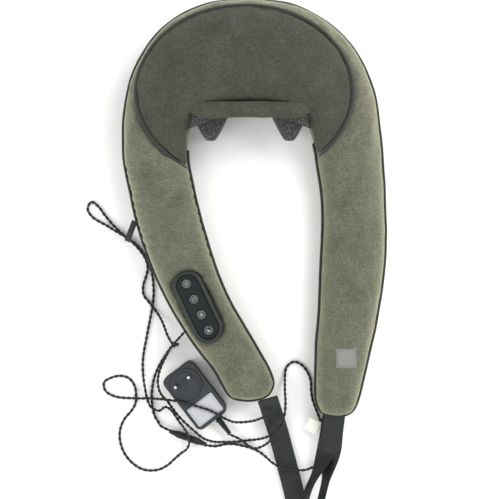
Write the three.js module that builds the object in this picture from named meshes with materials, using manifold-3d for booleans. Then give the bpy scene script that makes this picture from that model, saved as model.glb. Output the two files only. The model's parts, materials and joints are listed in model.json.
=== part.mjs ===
// Shiatsu neck massager: a padded U of fabric with a kneading gearbox in the neck part,
// a button panel on one arm, two hand loops, and a plug-in adapter on a lead.
// Millimetres. +Z up, the massager lies flat on z = 0 with its outer face up. The pieces are
// laid out from a point between the two arm roots, and the finished group is moved so that
// the origin is on the ground under the middle of the neck part.

import * as THREE from 'three';
import { mergeVertices } from 'three/addons/utils/BufferGeometryUtils.js';
import Module from 'manifold-3d';

const wasm = await Module();
wasm.setup();

// ---- driving dimensions ----

const REST_Y = 137; // the origin is under the neck part's middle, this far from the arm roots' line
const GAP = 0.4; // clearance between pieces that touch on the real object
const PIPING_R = 2.2;
const PIPING_STANDOFF = PIPING_R + 0.6; // from the cover's widest line to the piping's centre
const ARM_CAP = 27; // how far each rounded arm end reaches past its last station
const NECK_CUT_Y = 0; // the arms meet the neck part on this line
const PAD_THICK = 9;

// The padded U, as stations along it: inner edge x, y, outer edge x, y, height.
const STATIONS = [
  [34, -245, -38, -247, 44],
  [3, -193, -79, -193, 51],
  [-27, -137, -110, -137, 56],
  [-47, -80, -133, -80, 59],
  [-62, -24, -147, -24, 60],
  [-69, 30, -155, 33, 66],
  [-61, 57, -144, 110, 88],
  [-46, 64, -111, 166, 101],
  [-24, 69, -60, 197, 108],
  [0, 71, -2, 204, 110],
  [24, 68, 57, 197, 108],
  [46, 62, 109, 164, 101],
  [61, 55, 146, 108, 88],
  [70, 30, 159, 33, 66],
  [81, -24, 164, -24, 60],
  [81, -100, 165, -100, 59],
  [76, -190, 152, -190, 55],
  [73, -266, 134, -264, 46],
];
const SECTION_POWER = 2.6; // superellipse exponent of the padded section
const SECTION_SINK = 3.5; // how much of the section is pressed flat on the ground

// Crescent panel seam: an ellipse round the back of the neck part.
const CRESCENT = { x: -7, y: 88, rx: 125, ry: 98 };

// Kneading gearbox. Its own axes are x along the motor, y up the neck wall, z towards the neck.
const TILT = THREE.MathUtils.degToRad(15);
const GEARBOX_AT = new THREE.Vector3(0, 102, 53.5);
const HEAD_X = 46; // output axes, either side of the middle
const TEETH = 28;
const MODULE = 1.6;
const AXIAL_PITCH = Math.PI * MODULE;
const WORM_Y = -28.4; // worm axis below the wheel axes
const WORM_CORE_R = 4.8;
const THREAD_R = 1.1;
const THREAD_AT_R = 5.6;
const WORM_LENGTH = 21;
const WHEEL_TIP_R = 23.2;
const WHEEL_ROOT_R = 21.1;
const WHEEL_THICK = 7;
const MOTOR_R = 10.5;
const MOTOR_LENGTH = 46;
const SHAFT_R = 1.8;
const OUTPUT_R = 4;
const CARRIER_R = 22.5;
const CARRIER_Z = 22.5;
const CARRIER_THICK = 5;
const NODE_OFFSET = 15; // each kneading node from its carrier's axis
const NODE_REACH = 32;
const NODE_BALL_R = 9.2;
const SOCK_R = 11.4;
const SOCK_WALL = 1.6;
const SWEEP_R = 26.5; // widest circle that a turning head needs
const SHELL_HALF_X = 74;
const SHELL_LOW_Y = -43.5;
const SHELL_HIGH_Y = 27;
const SHELL_BACK_Z = -15.5;
const PLATE_Z = 12;
const PLATE_THICK = 3;
const WALL = 2.4;

// Button panel on the left arm.
const PANEL = { x: -61, y: -158.5, turn: -64.4, length: 90, width: 36, top: 59.5 };
const BUTTON_PITCH = 20;
const BUTTON_R = 6.2;

// Hand loops.
const STRAP_WIDTH = 25;
const STRAP_THICK = 1.8;

// Power lead and adapter.
const LEAD_R = 1.6;
const CONNECTOR = { x: -75, y: -319, dx: 0.928, dy: -0.372, r: 4, z: 5.2 };
const ADAPTER = { x: -65.8, y: -265.9, turn: -52.6, length: 76, width: 44, height: 27 };
const PIN_SPACING = 19;

// ---- helpers ----

function solid(geometry) {
  const clean = geometry.clone();
  clean.deleteAttribute('normal');
  clean.deleteAttribute('uv');
  const merged = mergeVertices(clean, 1e-4);
  const mesh = new wasm.Mesh({
    numProp: 3,
    vertProperties: new Float32Array(merged.attributes.position.array),
    triVerts: new Uint32Array(merged.index.array),
  });
  return new wasm.Manifold(mesh);
}

function geometryOf(manifold) {
  const mesh = manifold.getMesh();
  const geometry = new THREE.BufferGeometry();
  geometry.setAttribute('position', new THREE.BufferAttribute(mesh.vertProperties, 3));
  geometry.setIndex(new THREE.BufferAttribute(mesh.triVerts, 1));
  geometry.computeVertexNormals();
  return geometry;
}

function boxBetween(low, high) {
  const size = new THREE.Vector3().subVectors(high, low);
  const geometry = new THREE.BoxGeometry(size.x, size.y, size.z);
  const middle = new THREE.Vector3().addVectors(low, high).multiplyScalar(0.5);
  return geometry.translate(middle.x, middle.y, middle.z);
}

function box(x0, x1, y0, y1, z0, z1) {
  return boxBetween(new THREE.Vector3(x0, y0, z0), new THREE.Vector3(x1, y1, z1));
}

// An upright cylinder from z0 to z1.
function rod(radius, z0, z1, x = 0, y = 0, sides = 16) {
  const geometry = new THREE.CylinderGeometry(radius, radius, z1 - z0, sides);
  return geometry.rotateX(Math.PI / 2).translate(x, y, (z0 + z1) / 2);
}

// The same cylinder lying along x.
function rodAlongX(radius, x0, x1, y = 0, z = 0, sides = 16) {
  const geometry = new THREE.CylinderGeometry(radius, radius, x1 - x0, sides);
  return geometry.rotateZ(Math.PI / 2).translate((x0 + x1) / 2, y, z);
}

// A turned piece about z from [radius, z] pairs that start and end on the axis.
function turned(profile, sides = 16) {
  const points = profile.map(([r, z]) => new THREE.Vector2(r, z));
  return new THREE.LatheGeometry(points, sides).rotateX(Math.PI / 2);
}

function tube(curve, radius, steps, sides = 6) {
  const ring = new THREE.Shape();
  ring.absarc(0, 0, radius, 0, 2 * Math.PI);
  return new THREE.ExtrudeGeometry(ring, {
    curveSegments: sides / 2,
    steps,
    bevelEnabled: false,
    extrudePath: curve,
  });
}

function capsuleShape(length, width) {
  const half = length / 2 - width / 2;
  const shape = new THREE.Shape();
  shape.absarc(half, 0, width / 2, -Math.PI / 2, Math.PI / 2);
  shape.absarc(-half, 0, width / 2, Math.PI / 2, 1.5 * Math.PI);
  return shape;
}

function roundedShape(length, width, radius) {
  const x = length / 2 - radius;
  const y = width / 2 - radius;
  const shape = new THREE.Shape();
  shape.absarc(x, y, radius, 0, Math.PI / 2);
  shape.absarc(-x, y, radius, Math.PI / 2, Math.PI);
  shape.absarc(-x, -y, radius, Math.PI, 1.5 * Math.PI);
  shape.absarc(x, -y, radius, 1.5 * Math.PI, 2 * Math.PI);
  return shape;
}

function prism(shape, z0, z1, curveSegments = 6) {
  const options = { depth: z1 - z0, bevelEnabled: false, curveSegments };
  return new THREE.ExtrudeGeometry(shape, options).translate(0, 0, z0);
}

function finish(color, roughness, metalness = 0) {
  return new THREE.MeshStandardMaterial({ color, roughness, metalness });
}

const looks = {
  fabric: finish(0x74745f, 0.95),
  panelFabric: finish(0x55564a, 0.95),
  piping: finish(0x2a2d27, 0.8),
  mesh: finish(0x2c2c2b, 0.9),
  strap: finish(0x2b2f2b, 0.55),
  label: finish(0xd9d8d2, 0.7),
  darkPlastic: finish(0x23282a, 0.35),
  grey: finish(0x46484b, 0.5),
  white: finish(0xc9c9c4, 0.6),
  steel: finish(0xa7a9ab, 0.35, 0.9),
  brass: finish(0xb9974d, 0.35, 0.9),
  board: finish(0x2e5a3a, 0.6),
  nylon: finish(0xe2ddc8, 0.6),
  rubber: finish(0x1f2122, 0.7),
};

const massager = new THREE.Group();

function add(name, shape, look, parent = massager) {
  const geometry = shape.isBufferGeometry ? shape : geometryOf(shape);
  const mesh = new THREE.Mesh(geometry, looks[look]);
  mesh.name = name;
  parent.add(mesh);
  return mesh;
}

// ---- the padded U ----

function edgeCurve(column) {
  const points = STATIONS.map((s) => new THREE.Vector3(s[column], s[column + 1], s[4]));
  return new THREE.CatmullRomCurve3(points);
}

const innerEdge = edgeCurve(0);
const outerEdge = edgeCurve(2);

// Section of the U at `along` (0 at the left arm's tip, 1 at the right arm's tip).
function sectionAt(along) {
  const capShare = 0.045;
  const inBody = (along - capShare) / (1 - 2 * capShare);
  const t = THREE.MathUtils.clamp(inBody, 0, 1);
  const inner = innerEdge.getPoint(t);
  const outer = outerEdge.getPoint(t);
  const past = Math.max(-inBody, inBody - 1, 0) / (capShare / (1 - 2 * capShare));
  const reach = Math.sin((past * Math.PI) / 2);
  const scale = Math.pow(Math.max(1 - Math.pow(reach, SECTION_POWER), 0), 1 / SECTION_POWER);
  const middle = new THREE.Vector3().addVectors(inner, outer).multiplyScalar(0.5);
  const half = new THREE.Vector2(outer.x - inner.x, outer.y - inner.y).multiplyScalar(0.5);
  const length = half.length();
  const outward = half.clone().divideScalar(length);
  const way = t < 0.5 ? 1 : -1;
  middle.x -= way * outward.y * reach * ARM_CAP;
  middle.y += way * outward.x * reach * ARM_CAP;
  return { middle, outward, half: (length - PIPING_STANDOFF - PIPING_R) * scale, height: inner.z, scale };
}

// A point of the padded surface: `around` runs once round the section from its outer edge.
function surfacePoint(along, around) {
  const section = sectionAt(along);
  const angle = -around * 2 * Math.PI;
  const power = 2 / SECTION_POWER;
  const across = Math.sign(Math.cos(angle)) * Math.pow(Math.abs(Math.cos(angle)), power);
  const upward = Math.sign(Math.sin(angle)) * Math.pow(Math.abs(Math.sin(angle)), power);
  const rise = (section.height + SECTION_SINK) / 2;
  const z = rise * (1 + upward * section.scale) - SECTION_SINK;
  return new THREE.Vector3(
    section.middle.x + section.outward.x * section.half * across,
    section.middle.y + section.outward.y * section.half * across,
    Math.max(z, 0),
  );
}

function paddedBody(stepsAround, stepsAlong) {
  const geometry = new THREE.SphereGeometry(1, stepsAround, stepsAlong);
  const { position, uv } = geometry.attributes;
  for (let i = 0; i < position.count; i += 1) {
    const row = 1 - uv.getY(i);
    const onPole = row < 1e-6 || row > 1 - 1e-6;
    const around = onPole ? 0 : uv.getX(i) % 1;
    const point = surfacePoint(Math.min(Math.max(row, 0), 1), around);
    position.setXYZ(i, point.x, point.y, point.z);
  }
  return geometry;
}


const FAR = 600;
const fullBody = solid(paddedBody(16, 52));
const neckRegion = solid(box(-FAR, FAR, NECK_CUT_Y + GAP / 2, FAR, -FAR, FAR));
const leftRegion = solid(box(-FAR, 50, -FAR, NECK_CUT_Y - GAP / 2, -FAR, FAR));
const rightRegion = solid(box(55, FAR, -FAR, NECK_CUT_Y - GAP / 2, -FAR, FAR));
const neckBody = fullBody.intersect(neckRegion);

function heightOfTop(x, y) {
  const ray = new THREE.Raycaster(new THREE.Vector3(x, y, FAR), new THREE.Vector3(0, 0, -1));
  const hit = ray.intersectObject(bodyTarget)[0];
  return hit ? hit.point.z : 0;
}
const bodyTarget = new THREE.Mesh(geometryOf(fullBody));

// ---- gearbox frame, and the room it needs in the neck part ----

const gearbox = new THREE.Group();
gearbox.position.copy(GEARBOX_AT);
gearbox.rotation.x = Math.PI / 2 + TILT;
gearbox.updateMatrix();
massager.add(gearbox);

function inGearbox(geometry) {
  return solid(geometry.applyMatrix4(gearbox.matrix));
}

const HEADS = [
  { side: 'left', x: -HEAD_X, hand: 1 },
  { side: 'right', x: HEAD_X, hand: -1 },
];
const ROOM = 1.2;
const shellHalf = SHELL_HALF_X + ROOM;
const plateFront = PLATE_Z + PLATE_THICK;
let hollow = inGearbox(
  box(-shellHalf, shellHalf, SHELL_LOW_Y - ROOM, SHELL_HIGH_Y + ROOM, SHELL_BACK_Z - ROOM, plateFront + 3.4),
);
for (const head of HEADS) {
  hollow = hollow.add(inGearbox(rod(SWEEP_R + 1.5, plateFront, 110, head.x, 0, 28)));
}
const panelRecess = inGearbox(box(-64, 64, -31, 31, 28, 110));

// ---- crescent panel and its piping channel ----

function ellipsePrism(grow) {
  const shape = new THREE.Shape();
  shape.absellipse(0, 0, CRESCENT.rx + grow, CRESCENT.ry + grow, 0, 2 * Math.PI);
  return solid(prism(shape, -50, 300, 22).translate(CRESCENT.x, CRESCENT.y, 0));
}

const channel = PIPING_R + GAP;
const padCore = neckBody.intersect(ellipsePrism(-channel));
const pad = padCore.subtract(fullBody.translate([0, 0, -PAD_THICK])).subtract(hollow).subtract(panelRecess);
const padRoom = ellipsePrism(channel).subtract(fullBody.translate([0, 0, -PAD_THICK - GAP]));

// ---- wiring between the button panel and the motor ----

const harnessPath = new THREE.CatmullRomCurve3([
  new THREE.Vector3(-70, -108, 30),
  new THREE.Vector3(-95, -60, 30),
  new THREE.Vector3(-106, 0, 32),
  new THREE.Vector3(-100, 60, 38),
  new THREE.Vector3(-80, 92, 42),
]);
const HARNESS_R = 2.5;

// ---- button panel frame ----

const panel = new THREE.Group();
panel.position.set(PANEL.x, PANEL.y, 0);
panel.rotation.z = THREE.MathUtils.degToRad(PANEL.turn);
panel.updateMatrix();
massager.add(panel);

const POCKET_Z = 36;
const pocketShape = capsuleShape(PANEL.length + 1.2, PANEL.width + 1.2);
const pocket = solid(prism(pocketShape, POCKET_Z, 120).applyMatrix4(panel.matrix));
const harnessRoom = solid(tube(harnessPath, HARNESS_R + 1.2, 14, 6));
const trayDoor = solid(rodAlongX(4, -64, -34, 0, 42, 12).applyMatrix4(panel.matrix));

function largestBody(manifold) {
  return manifold.decompose().sort((a, b) => b.volume() - a.volume())[0];
}

const CRESCENT_START = -0.235 * Math.PI;
const CRESCENT_END = 1.25 * Math.PI;
const crescentPoints = [];
for (let i = 0; i <= 40; i += 1) {
  const angle = THREE.MathUtils.lerp(CRESCENT_START, CRESCENT_END, i / 40);
  const x = CRESCENT.x + CRESCENT.rx * Math.cos(angle);
  const y = CRESCENT.y + CRESCENT.ry * Math.sin(angle);
  crescentPoints.push(new THREE.Vector3(x, y, heightOfTop(x, y) - 0.8));
}
const crescentPath = new THREE.CatmullRomCurve3(crescentPoints);
const pipingRoom = solid(tube(crescentPath, PIPING_R + 0.7, 40, 4));

const neckRooms = [hollow, pipingRoom, panelRecess, padRoom, harnessRoom];
const neckCover = neckRooms.reduce((cover, room) => cover.subtract(room), neckBody);
add('neck_cover', largestBody(neckCover), 'fabric');
add('crescent_pad', largestBody(pad.subtract(pipingRoom)), 'panelFabric');
const leftArm = fullBody.intersect(leftRegion).subtract(pocket).subtract(harnessRoom).subtract(trayDoor);
add('left_arm_cushion', largestBody(leftArm), 'fabric');
add('right_arm_cushion', fullBody.intersect(rightRegion), 'fabric');
add('wiring_harness', tube(harnessPath, HARNESS_R, 14, 6), 'rubber');

// ---- piping ----

// The inner edge seam stops short of the arch, clear of the turning heads. Shares along the U.
const EDGE_FROM = 0.308;
const EDGE_TO = 0.73;
const EDGE_ROOM = 1.9;

function edgePoint(along, outerSide) {
  const step = 0.002;
  const around = outerSide ? 0 : 0.5;
  const here = surfacePoint(along, around);
  const before = surfacePoint(Math.max(along - step, 0), along < step ? 0.5 - around : around);
  const after = surfacePoint(Math.min(along + step, 1), along > 1 - step ? 0.5 - around : around);
  const run = new THREE.Vector2(after.x - before.x, after.y - before.y).normalize();
  const way = outerSide ? 1 : -1;
  const standoff = PIPING_STANDOFF + EDGE_ROOM;
  here.x -= run.y * way * standoff;
  here.y += run.x * way * standoff;
  here.z = sectionAt(along).height / 2;
  return here;
}

const edgePoints = [];
const CAP_SHARE = 0.045;
const capEase = [0, 0.25, 0.5, 0.72, 0.88, 0.97];
function capSteps() {
  return capEase.map((ease) => CAP_SHARE * (1 - ease));
}
for (let along = EDGE_FROM; along > CAP_SHARE; along -= 0.02) {
  edgePoints.push(edgePoint(along, false));
}
for (const along of capSteps()) {
  edgePoints.push(edgePoint(along, false));
}
for (const along of capSteps().reverse()) {
  edgePoints.push(edgePoint(along, true));
}
for (let along = CAP_SHARE + 0.02; along < 1 - CAP_SHARE - 0.01; along += 0.02) {
  edgePoints.push(edgePoint(along, true));
}
for (const along of capSteps()) {
  edgePoints.push(edgePoint(1 - along, true));
}
for (const along of capSteps().reverse()) {
  edgePoints.push(edgePoint(1 - along, false));
}
for (let along = 1 - CAP_SHARE - 0.02; along > EDGE_TO; along -= 0.02) {
  edgePoints.push(edgePoint(along, false));
}
const edgePath = new THREE.CatmullRomCurve3(edgePoints, false, 'centripetal');
add('edge_piping', tube(edgePath, PIPING_R, 120, 4), 'piping');

add('crescent_piping', tube(crescentPath, PIPING_R, 44, 4), 'piping');

// ---- gearbox pieces ----

const inside = WALL;
const shellBox = solid(
  box(-SHELL_HALF_X, SHELL_HALF_X, SHELL_LOW_Y, SHELL_HIGH_Y, SHELL_BACK_Z, PLATE_Z - GAP),
);
const shellRoom = solid(
  box(
    -SHELL_HALF_X + inside, SHELL_HALF_X - inside,
    SHELL_LOW_Y + inside, SHELL_HIGH_Y - inside,
    SHELL_BACK_Z + inside, 60,
  ),
);
let shell = shellBox.subtract(shellRoom);
const RIB_X = 62;
const RIB_THICK = 4;
const BUSH_R = 4.6;
const SCREW_SPOTS = [[-68, -37.5], [68, -37.5], [-68, 21], [68, 21]];
const SCREW_R = 1.5;
for (const side of [-1, 1]) {
  const x = side * RIB_X;
  shell = shell.add(solid(box(x - 2, x + 2, SHELL_LOW_Y + 1, WORM_Y + 7.5, SHELL_BACK_Z + 1, 7)));
  shell = shell.subtract(solid(rodAlongX(BUSH_R + 0.3, x - 3, x + 3, WORM_Y, 0)));
  const saddleX = side * 19;
  const saddle = solid(box(saddleX - 1.5, saddleX + 1.5, SHELL_LOW_Y + 1, WORM_Y + 8, SHELL_BACK_Z + 1, 0));
  shell = shell.add(saddle.subtract(solid(rodAlongX(MOTOR_R + 0.4, -30, 30, WORM_Y, 0, 20))));
}
for (const [x, y] of SCREW_SPOTS) {
  shell = shell.add(solid(rod(4, SHELL_BACK_Z + 1, PLATE_Z - GAP, x, y, 10)));
}
for (const [x, y] of SCREW_SPOTS) {
  shell = shell.subtract(solid(rod(SCREW_R + 0.4, -6, 60, x, y, 8)));
}
shell = shell.subtract(solid(box(-SHELL_HALF_X - 5, -SHELL_HALF_X + 5, -38, -30, -6, 2)));
add('gearbox_rear_shell', shell, 'darkPlastic', gearbox);

let plate = solid(prism(roundedShape(2 * SHELL_HALF_X, SHELL_HIGH_Y - SHELL_LOW_Y, 5), PLATE_Z, plateFront)
  .translate(0, (SHELL_HIGH_Y + SHELL_LOW_Y) / 2, 0));
const OUTPUT_BUSH_R = 6.5;
for (const head of HEADS) {
  plate = plate.subtract(solid(rod(OUTPUT_BUSH_R + 0.3, 0, 40, head.x)));
}
for (const [x, y] of SCREW_SPOTS) {
  plate = plate.subtract(solid(rod(SCREW_R + 0.4, 0, 60, x, y, 8)));
}
add('gearbox_front_plate', plate, 'darkPlastic', gearbox);
SCREW_SPOTS.forEach(([x, y], i) => {
  const head = plateFront + 0.4;
  const profile = [
    [0, -4], [SCREW_R, -4], [SCREW_R, head], [3, head], [3, head + 1.2], [1.8, head + 2], [0, head + 2],
  ];
  add(`gearbox_screw_${i + 1}`, turned(profile, 12).translate(x, y, 0), 'steel', gearbox);
});

function annulus(outer, inner, length, z0, sides = 16) {
  const profile = [[inner, z0], [outer, z0], [outer, z0 + length], [inner, z0 + length], [inner, z0]];
  return turned(profile, sides);
}

function alongX(geometry) {
  return geometry.rotateY(Math.PI / 2).translate(0, WORM_Y, 0);
}

const canWall = 1;
const canProfile = [
  [SHAFT_R + 1.4, -MOTOR_LENGTH / 2], [MOTOR_R, -MOTOR_LENGTH / 2], [MOTOR_R, MOTOR_LENGTH / 2 - 3],
  [MOTOR_R - canWall, MOTOR_LENGTH / 2 - 3], [MOTOR_R - canWall, -MOTOR_LENGTH / 2 + canWall],
  [SHAFT_R + 1.4, -MOTOR_LENGTH / 2 + canWall], [SHAFT_R + 1.4, -MOTOR_LENGTH / 2],
];
add('motor_can', alongX(turned(canProfile, 18)), 'steel', gearbox);
const capProfile = [
  [SHAFT_R + 1.4, MOTOR_LENGTH / 2 - 2.6], [MOTOR_R, MOTOR_LENGTH / 2 - 2.6], [MOTOR_R, MOTOR_LENGTH / 2],
  [SHAFT_R + 1.4, MOTOR_LENGTH / 2], [SHAFT_R + 1.4, MOTOR_LENGTH / 2 - 2.6],
];
add('motor_end_cap', alongX(turned(capProfile, 18)), 'darkPlastic', gearbox);
add('motor_rotor', alongX(annulus(MOTOR_R - 2.2, SHAFT_R + 0.35, 34, -17)), 'steel', gearbox);

class WormHelix extends THREE.Curve {
  constructor(middleX, hand) {
    super();
    this.middleX = middleX;
    this.hand = hand;
  }

  getPoint(t, target = new THREE.Vector3()) {
    const along = (t - 0.5) * (WORM_LENGTH - 3);
    const angle = (this.hand * 2 * Math.PI * along) / AXIAL_PITCH;
    const y = WORM_Y + THREAD_AT_R * Math.cos(angle);
    return target.set(this.middleX + along, y, THREAD_AT_R * Math.sin(angle));
  }
}

let wormShaft = solid(rodAlongX(SHAFT_R, -66, 66, WORM_Y, 0, 16));
for (const head of HEADS) {
  const core = rodAlongX(WORM_CORE_R, head.x - WORM_LENGTH / 2, head.x + WORM_LENGTH / 2, WORM_Y, 0, 16);
  wormShaft = wormShaft.add(solid(core)).add(solid(tube(new WormHelix(head.x, head.hand), THREAD_R, 28, 4)));
}
add('worm_shaft', wormShaft, 'steel', gearbox);

function wheelShape() {
  const shape = new THREE.Shape();
  const pitch = (2 * Math.PI) / TEETH;
  for (let i = 0; i < TEETH; i += 1) {
    const middle = -Math.PI / 2 + (i + 0.5) * pitch;
    const corners = [
      [WHEEL_ROOT_R, -0.24], [WHEEL_TIP_R, -0.13], [WHEEL_TIP_R, 0.13], [WHEEL_ROOT_R, 0.24],
    ];
    for (const [r, share] of corners) {
      const angle = middle + share * pitch;
      const point = [r * Math.cos(angle), r * Math.sin(angle)];
      if (i === 0 && share === -0.24) {
        shape.moveTo(...point);
      } else {
        shape.lineTo(...point);
      }
    }
  }
  const bore = new THREE.Path();
  bore.absarc(0, 0, OUTPUT_R + 0.3, 0, 2 * Math.PI, true);
  shape.holes.push(bore);
  return shape;
}

function kneadingNode() {
  const base = CARRIER_Z + CARRIER_THICK + GAP;
  const tip = CARRIER_Z + NODE_REACH + 2.5;
  const profile = [[0, base], [8, base], [6.6, base + 8], [7.2, tip - NODE_BALL_R * 1.5]];
  for (let i = 0; i <= 5; i += 1) {
    const angle = -0.55 + (i / 5) * (Math.PI / 2 + 0.55);
    profile.push([Math.max(NODE_BALL_R * Math.cos(angle), 0), tip - NODE_BALL_R * (1 - Math.sin(angle))]);
  }
  profile[profile.length - 1][0] = 0;
  return turned(profile, 12);
}

// Net cover of one head: a wide tented base with two bumps over the nodes.
function sockBody(shrink) {
  const base = CARRIER_Z + CARRIER_THICK + 0.6;
  const tip = CARRIER_Z + NODE_REACH + 2.5 + GAP + SOCK_WALL - shrink;
  const start = base - (shrink > 0 ? 1 : 0);
  const r = SOCK_R - shrink;
  const wide = SWEEP_R - shrink;
  const tent = [[0, start], [wide, start], [wide - 1, base + 3], [15 - shrink, base + 15], [0, base + 15]];
  let whole = solid(turned(tent, 22));
  for (const way of [-1, 1]) {
    const profile = [[0, start], [r, start]];
    for (let i = 0; i <= 4; i += 1) {
      const angle = (i / 4) * (Math.PI / 2);
      profile.push([r * Math.cos(angle), tip - r * 0.8 * (1 - Math.sin(angle))]);
    }
    profile[profile.length - 1][0] = 0;
    whole = whole.add(solid(turned(profile, 14).translate(0, way * NODE_OFFSET, 0)));
  }
  return whole;
}

for (const head of HEADS) {
  const wheel = prism(wheelShape(), -WHEEL_THICK / 2, WHEEL_THICK / 2, 12);
  add(`${head.side}_worm_wheel`, wheel.translate(head.x, 0, 0), 'nylon', gearbox);
  const shaft = rod(OUTPUT_R, -11, CARRIER_Z + CARRIER_THICK - 0.5, head.x, 0, 20);
  add(`${head.side}_output_shaft`, shaft, 'steel', gearbox);
  const bush = annulus(OUTPUT_BUSH_R, OUTPUT_R + 0.3, PLATE_THICK + 3, PLATE_Z - 2);
  add(`${head.side}_output_bush`, bush.translate(head.x, 0, 0), 'brass', gearbox);
  const wormBush = alongX(annulus(BUSH_R, SHAFT_R + 0.3, RIB_THICK, -RIB_THICK / 2, 20));
  add(`${head.side}_worm_bush`, wormBush.translate(Math.sign(head.x) * RIB_X, 0, 0), 'brass', gearbox);
  const carrier = annulus(CARRIER_R, OUTPUT_R + 0.3, CARRIER_THICK, CARRIER_Z, 24);
  add(`${head.side}_carrier`, carrier.translate(head.x, 0, 0), 'nylon', gearbox);
  add(`${head.side}_upper_node`, kneadingNode().translate(head.x, NODE_OFFSET, 0), 'rubber', gearbox);
  add(`${head.side}_lower_node`, kneadingNode().translate(head.x, -NODE_OFFSET, 0), 'rubber', gearbox);
  const sock = geometryOf(sockBody(0).subtract(sockBody(SOCK_WALL)));
  add(`${head.side}_mesh_sock`, sock.translate(head.x, 0, 0), 'mesh', gearbox);
}

let meshPanel = solid(box(-63.4, 63.4, -30.4, 30.4, 29.6, 31.4));
for (const head of HEADS) {
  meshPanel = meshPanel.subtract(solid(rod(SWEEP_R + 1.2, 0, 100, head.x, 0, 36)));
}
add('mesh_panel', largestBody(meshPanel), 'mesh', gearbox);

// ---- button panel ----

const LEDGE = 5;
const TOP = PANEL.top;
const rimShape = capsuleShape(PANEL.length, PANEL.width);
const openShape = capsuleShape(PANEL.length - 2 * LEDGE, PANEL.width - 2 * LEDGE);
const bezel = solid(prism(rimShape, TOP - 4, TOP)).subtract(solid(prism(openShape, TOP - 9, TOP + 9)));
add('control_bezel', bezel, 'darkPlastic', panel);
const fasciaShape = capsuleShape(PANEL.length - 2 * LEDGE - 2 * GAP, PANEL.width - 2 * LEDGE - 2 * GAP);
let fascia = solid(prism(fasciaShape, TOP - 3, TOP - 1));
const BUTTONS = ['power', 'direction', 'heat', 'speed'];
const buttonX = (i) => (i - 1.5) * BUTTON_PITCH;
BUTTONS.forEach((name, i) => {
  fascia = fascia.subtract(solid(rod(BUTTON_R + 0.4, 0, 99, buttonX(i), 0)));
});
add('control_fascia', fascia, 'darkPlastic', panel);
const trayOuter = solid(prism(capsuleShape(PANEL.length - 2, PANEL.width - 2), POCKET_Z + 1, TOP - 4.5));
const trayInner = solid(prism(capsuleShape(PANEL.length - 6, PANEL.width - 6), POCKET_Z + 3, 99));
const trayHole = solid(rodAlongX(3.6, -60, -36, 0, 42, 12));
add('control_tray', trayOuter.subtract(trayInner).subtract(trayHole), 'darkPlastic', panel);
add('control_board', prism(capsuleShape(PANEL.length - 12, 22), 45, 46.6), 'board', panel);
BUTTONS.forEach((name, i) => {
  const profile = [
    [0, 48.2], [2, 48.2], [2, TOP - 5], [BUTTON_R + 1.4, TOP - 5], [BUTTON_R + 1.4, TOP - 3.9],
    [BUTTON_R, TOP - 3.9], [BUTTON_R, TOP - 0.5], [BUTTON_R - 0.7, TOP], [BUTTON_R - 2, TOP - 0.3],
    [0, TOP - 0.5],
  ];
  add(`${name}_button`, turned(profile, 12).translate(buttonX(i), 0, 0), 'darkPlastic', panel);
});

// ---- hand loops ----

// A flat band along a curve: `across` gives the band's width direction at a share of its length.
function band(curve, width, thickness, steps, across) {
  const geometry = new THREE.BoxGeometry(1, 1, 1, 1, 1, steps);
  const { position } = geometry.attributes;
  for (let i = 0; i < position.count; i += 1) {
    const share = position.getZ(i) + 0.5;
    const point = curve.getPointAt(share);
    const forward = curve.getTangentAt(share);
    const side = across(share).clone();
    side.addScaledVector(forward, -side.dot(forward)).normalize();
    const up = new THREE.Vector3().crossVectors(forward, side).normalize();
    point.addScaledVector(side, position.getX(i) * width);
    point.addScaledVector(up, position.getY(i) * thickness);
    position.setXYZ(i, point.x, point.y, point.z);
  }
  return geometry;
}

function curveThrough(points) {
  return new THREE.CatmullRomCurve3(points.map((p) => new THREE.Vector3(...p)), false, 'centripetal');
}

// Both ends of the left loop are sewn into the arm's end, one above the other.
const leftLoop = curveThrough([
  [24, -279, 24], [28, -292, 17], [34, -312, 8.5], [42, -342, 6], [51, -376, 6], [58, -404, 6],
  [60, -409, 3.8], [58, -404, 1.6], [51, -376, 1.4], [42, -342, 1.4], [34, -312, 3], [28, -292, 11],
  [24, -279, 19],
]);
const leftAcross = () => new THREE.Vector3(0.96, 0.28, 0);
add('left_hand_loop', band(leftLoop, STRAP_WIDTH, STRAP_THICK, 40, leftAcross), 'strap');

const rightLoop = curveThrough([
  [100, -297.5, 27], [98.5, -312, 24.5], [97, -330, 23.5], [93, -352, 25], [88, -376, 26], [82, -396, 26],
  [74, -404, 26], [66, -402, 26], [65, -394, 26], [70, -376, 26], [82, -352, 24.5], [92, -330, 20],
  [96, -312, 18.5], [98, -297.5, 19.6],
]);
function rightAcross(share) {
  const fromEnd = Math.min(share, 1 - share);
  const turn = THREE.MathUtils.smoothstep(fromEnd, 0.05, 0.33) * 1.3;
  return new THREE.Vector3(Math.cos(turn), 0.1, Math.sin(turn));
}
add('right_hand_loop', band(rightLoop, STRAP_WIDTH, STRAP_THICK, 40, rightAcross), 'strap');

// ---- sewn-on labels ----

const PATCH = { x: 112.7, y: -218.9, lift: 1.8 };
const patch = box(-12, 12, -11.5, 11.5, 0, 0.8);
patch.translate(PATCH.x, PATCH.y, heightOfTop(PATCH.x, PATCH.y) + PATCH.lift);
add('woven_patch', patch, 'panelFabric');
add('side_tab', box(-7, 0, -13, 13, 0, 1.4).rotateZ(-0.36).translate(-137.8, -71, 33.4), 'strap');
add('care_label', box(-8, 8, -8, 8, 0, 0.6).rotateZ(-0.45).translate(76, -304, 8), 'label');

// ---- adapter ----

const adapter = new THREE.Group();
adapter.position.set(ADAPTER.x, ADAPTER.y, 0);
adapter.rotation.z = THREE.MathUtils.degToRad(ADAPTER.turn);
adapter.updateMatrix();
massager.add(adapter);

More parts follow.
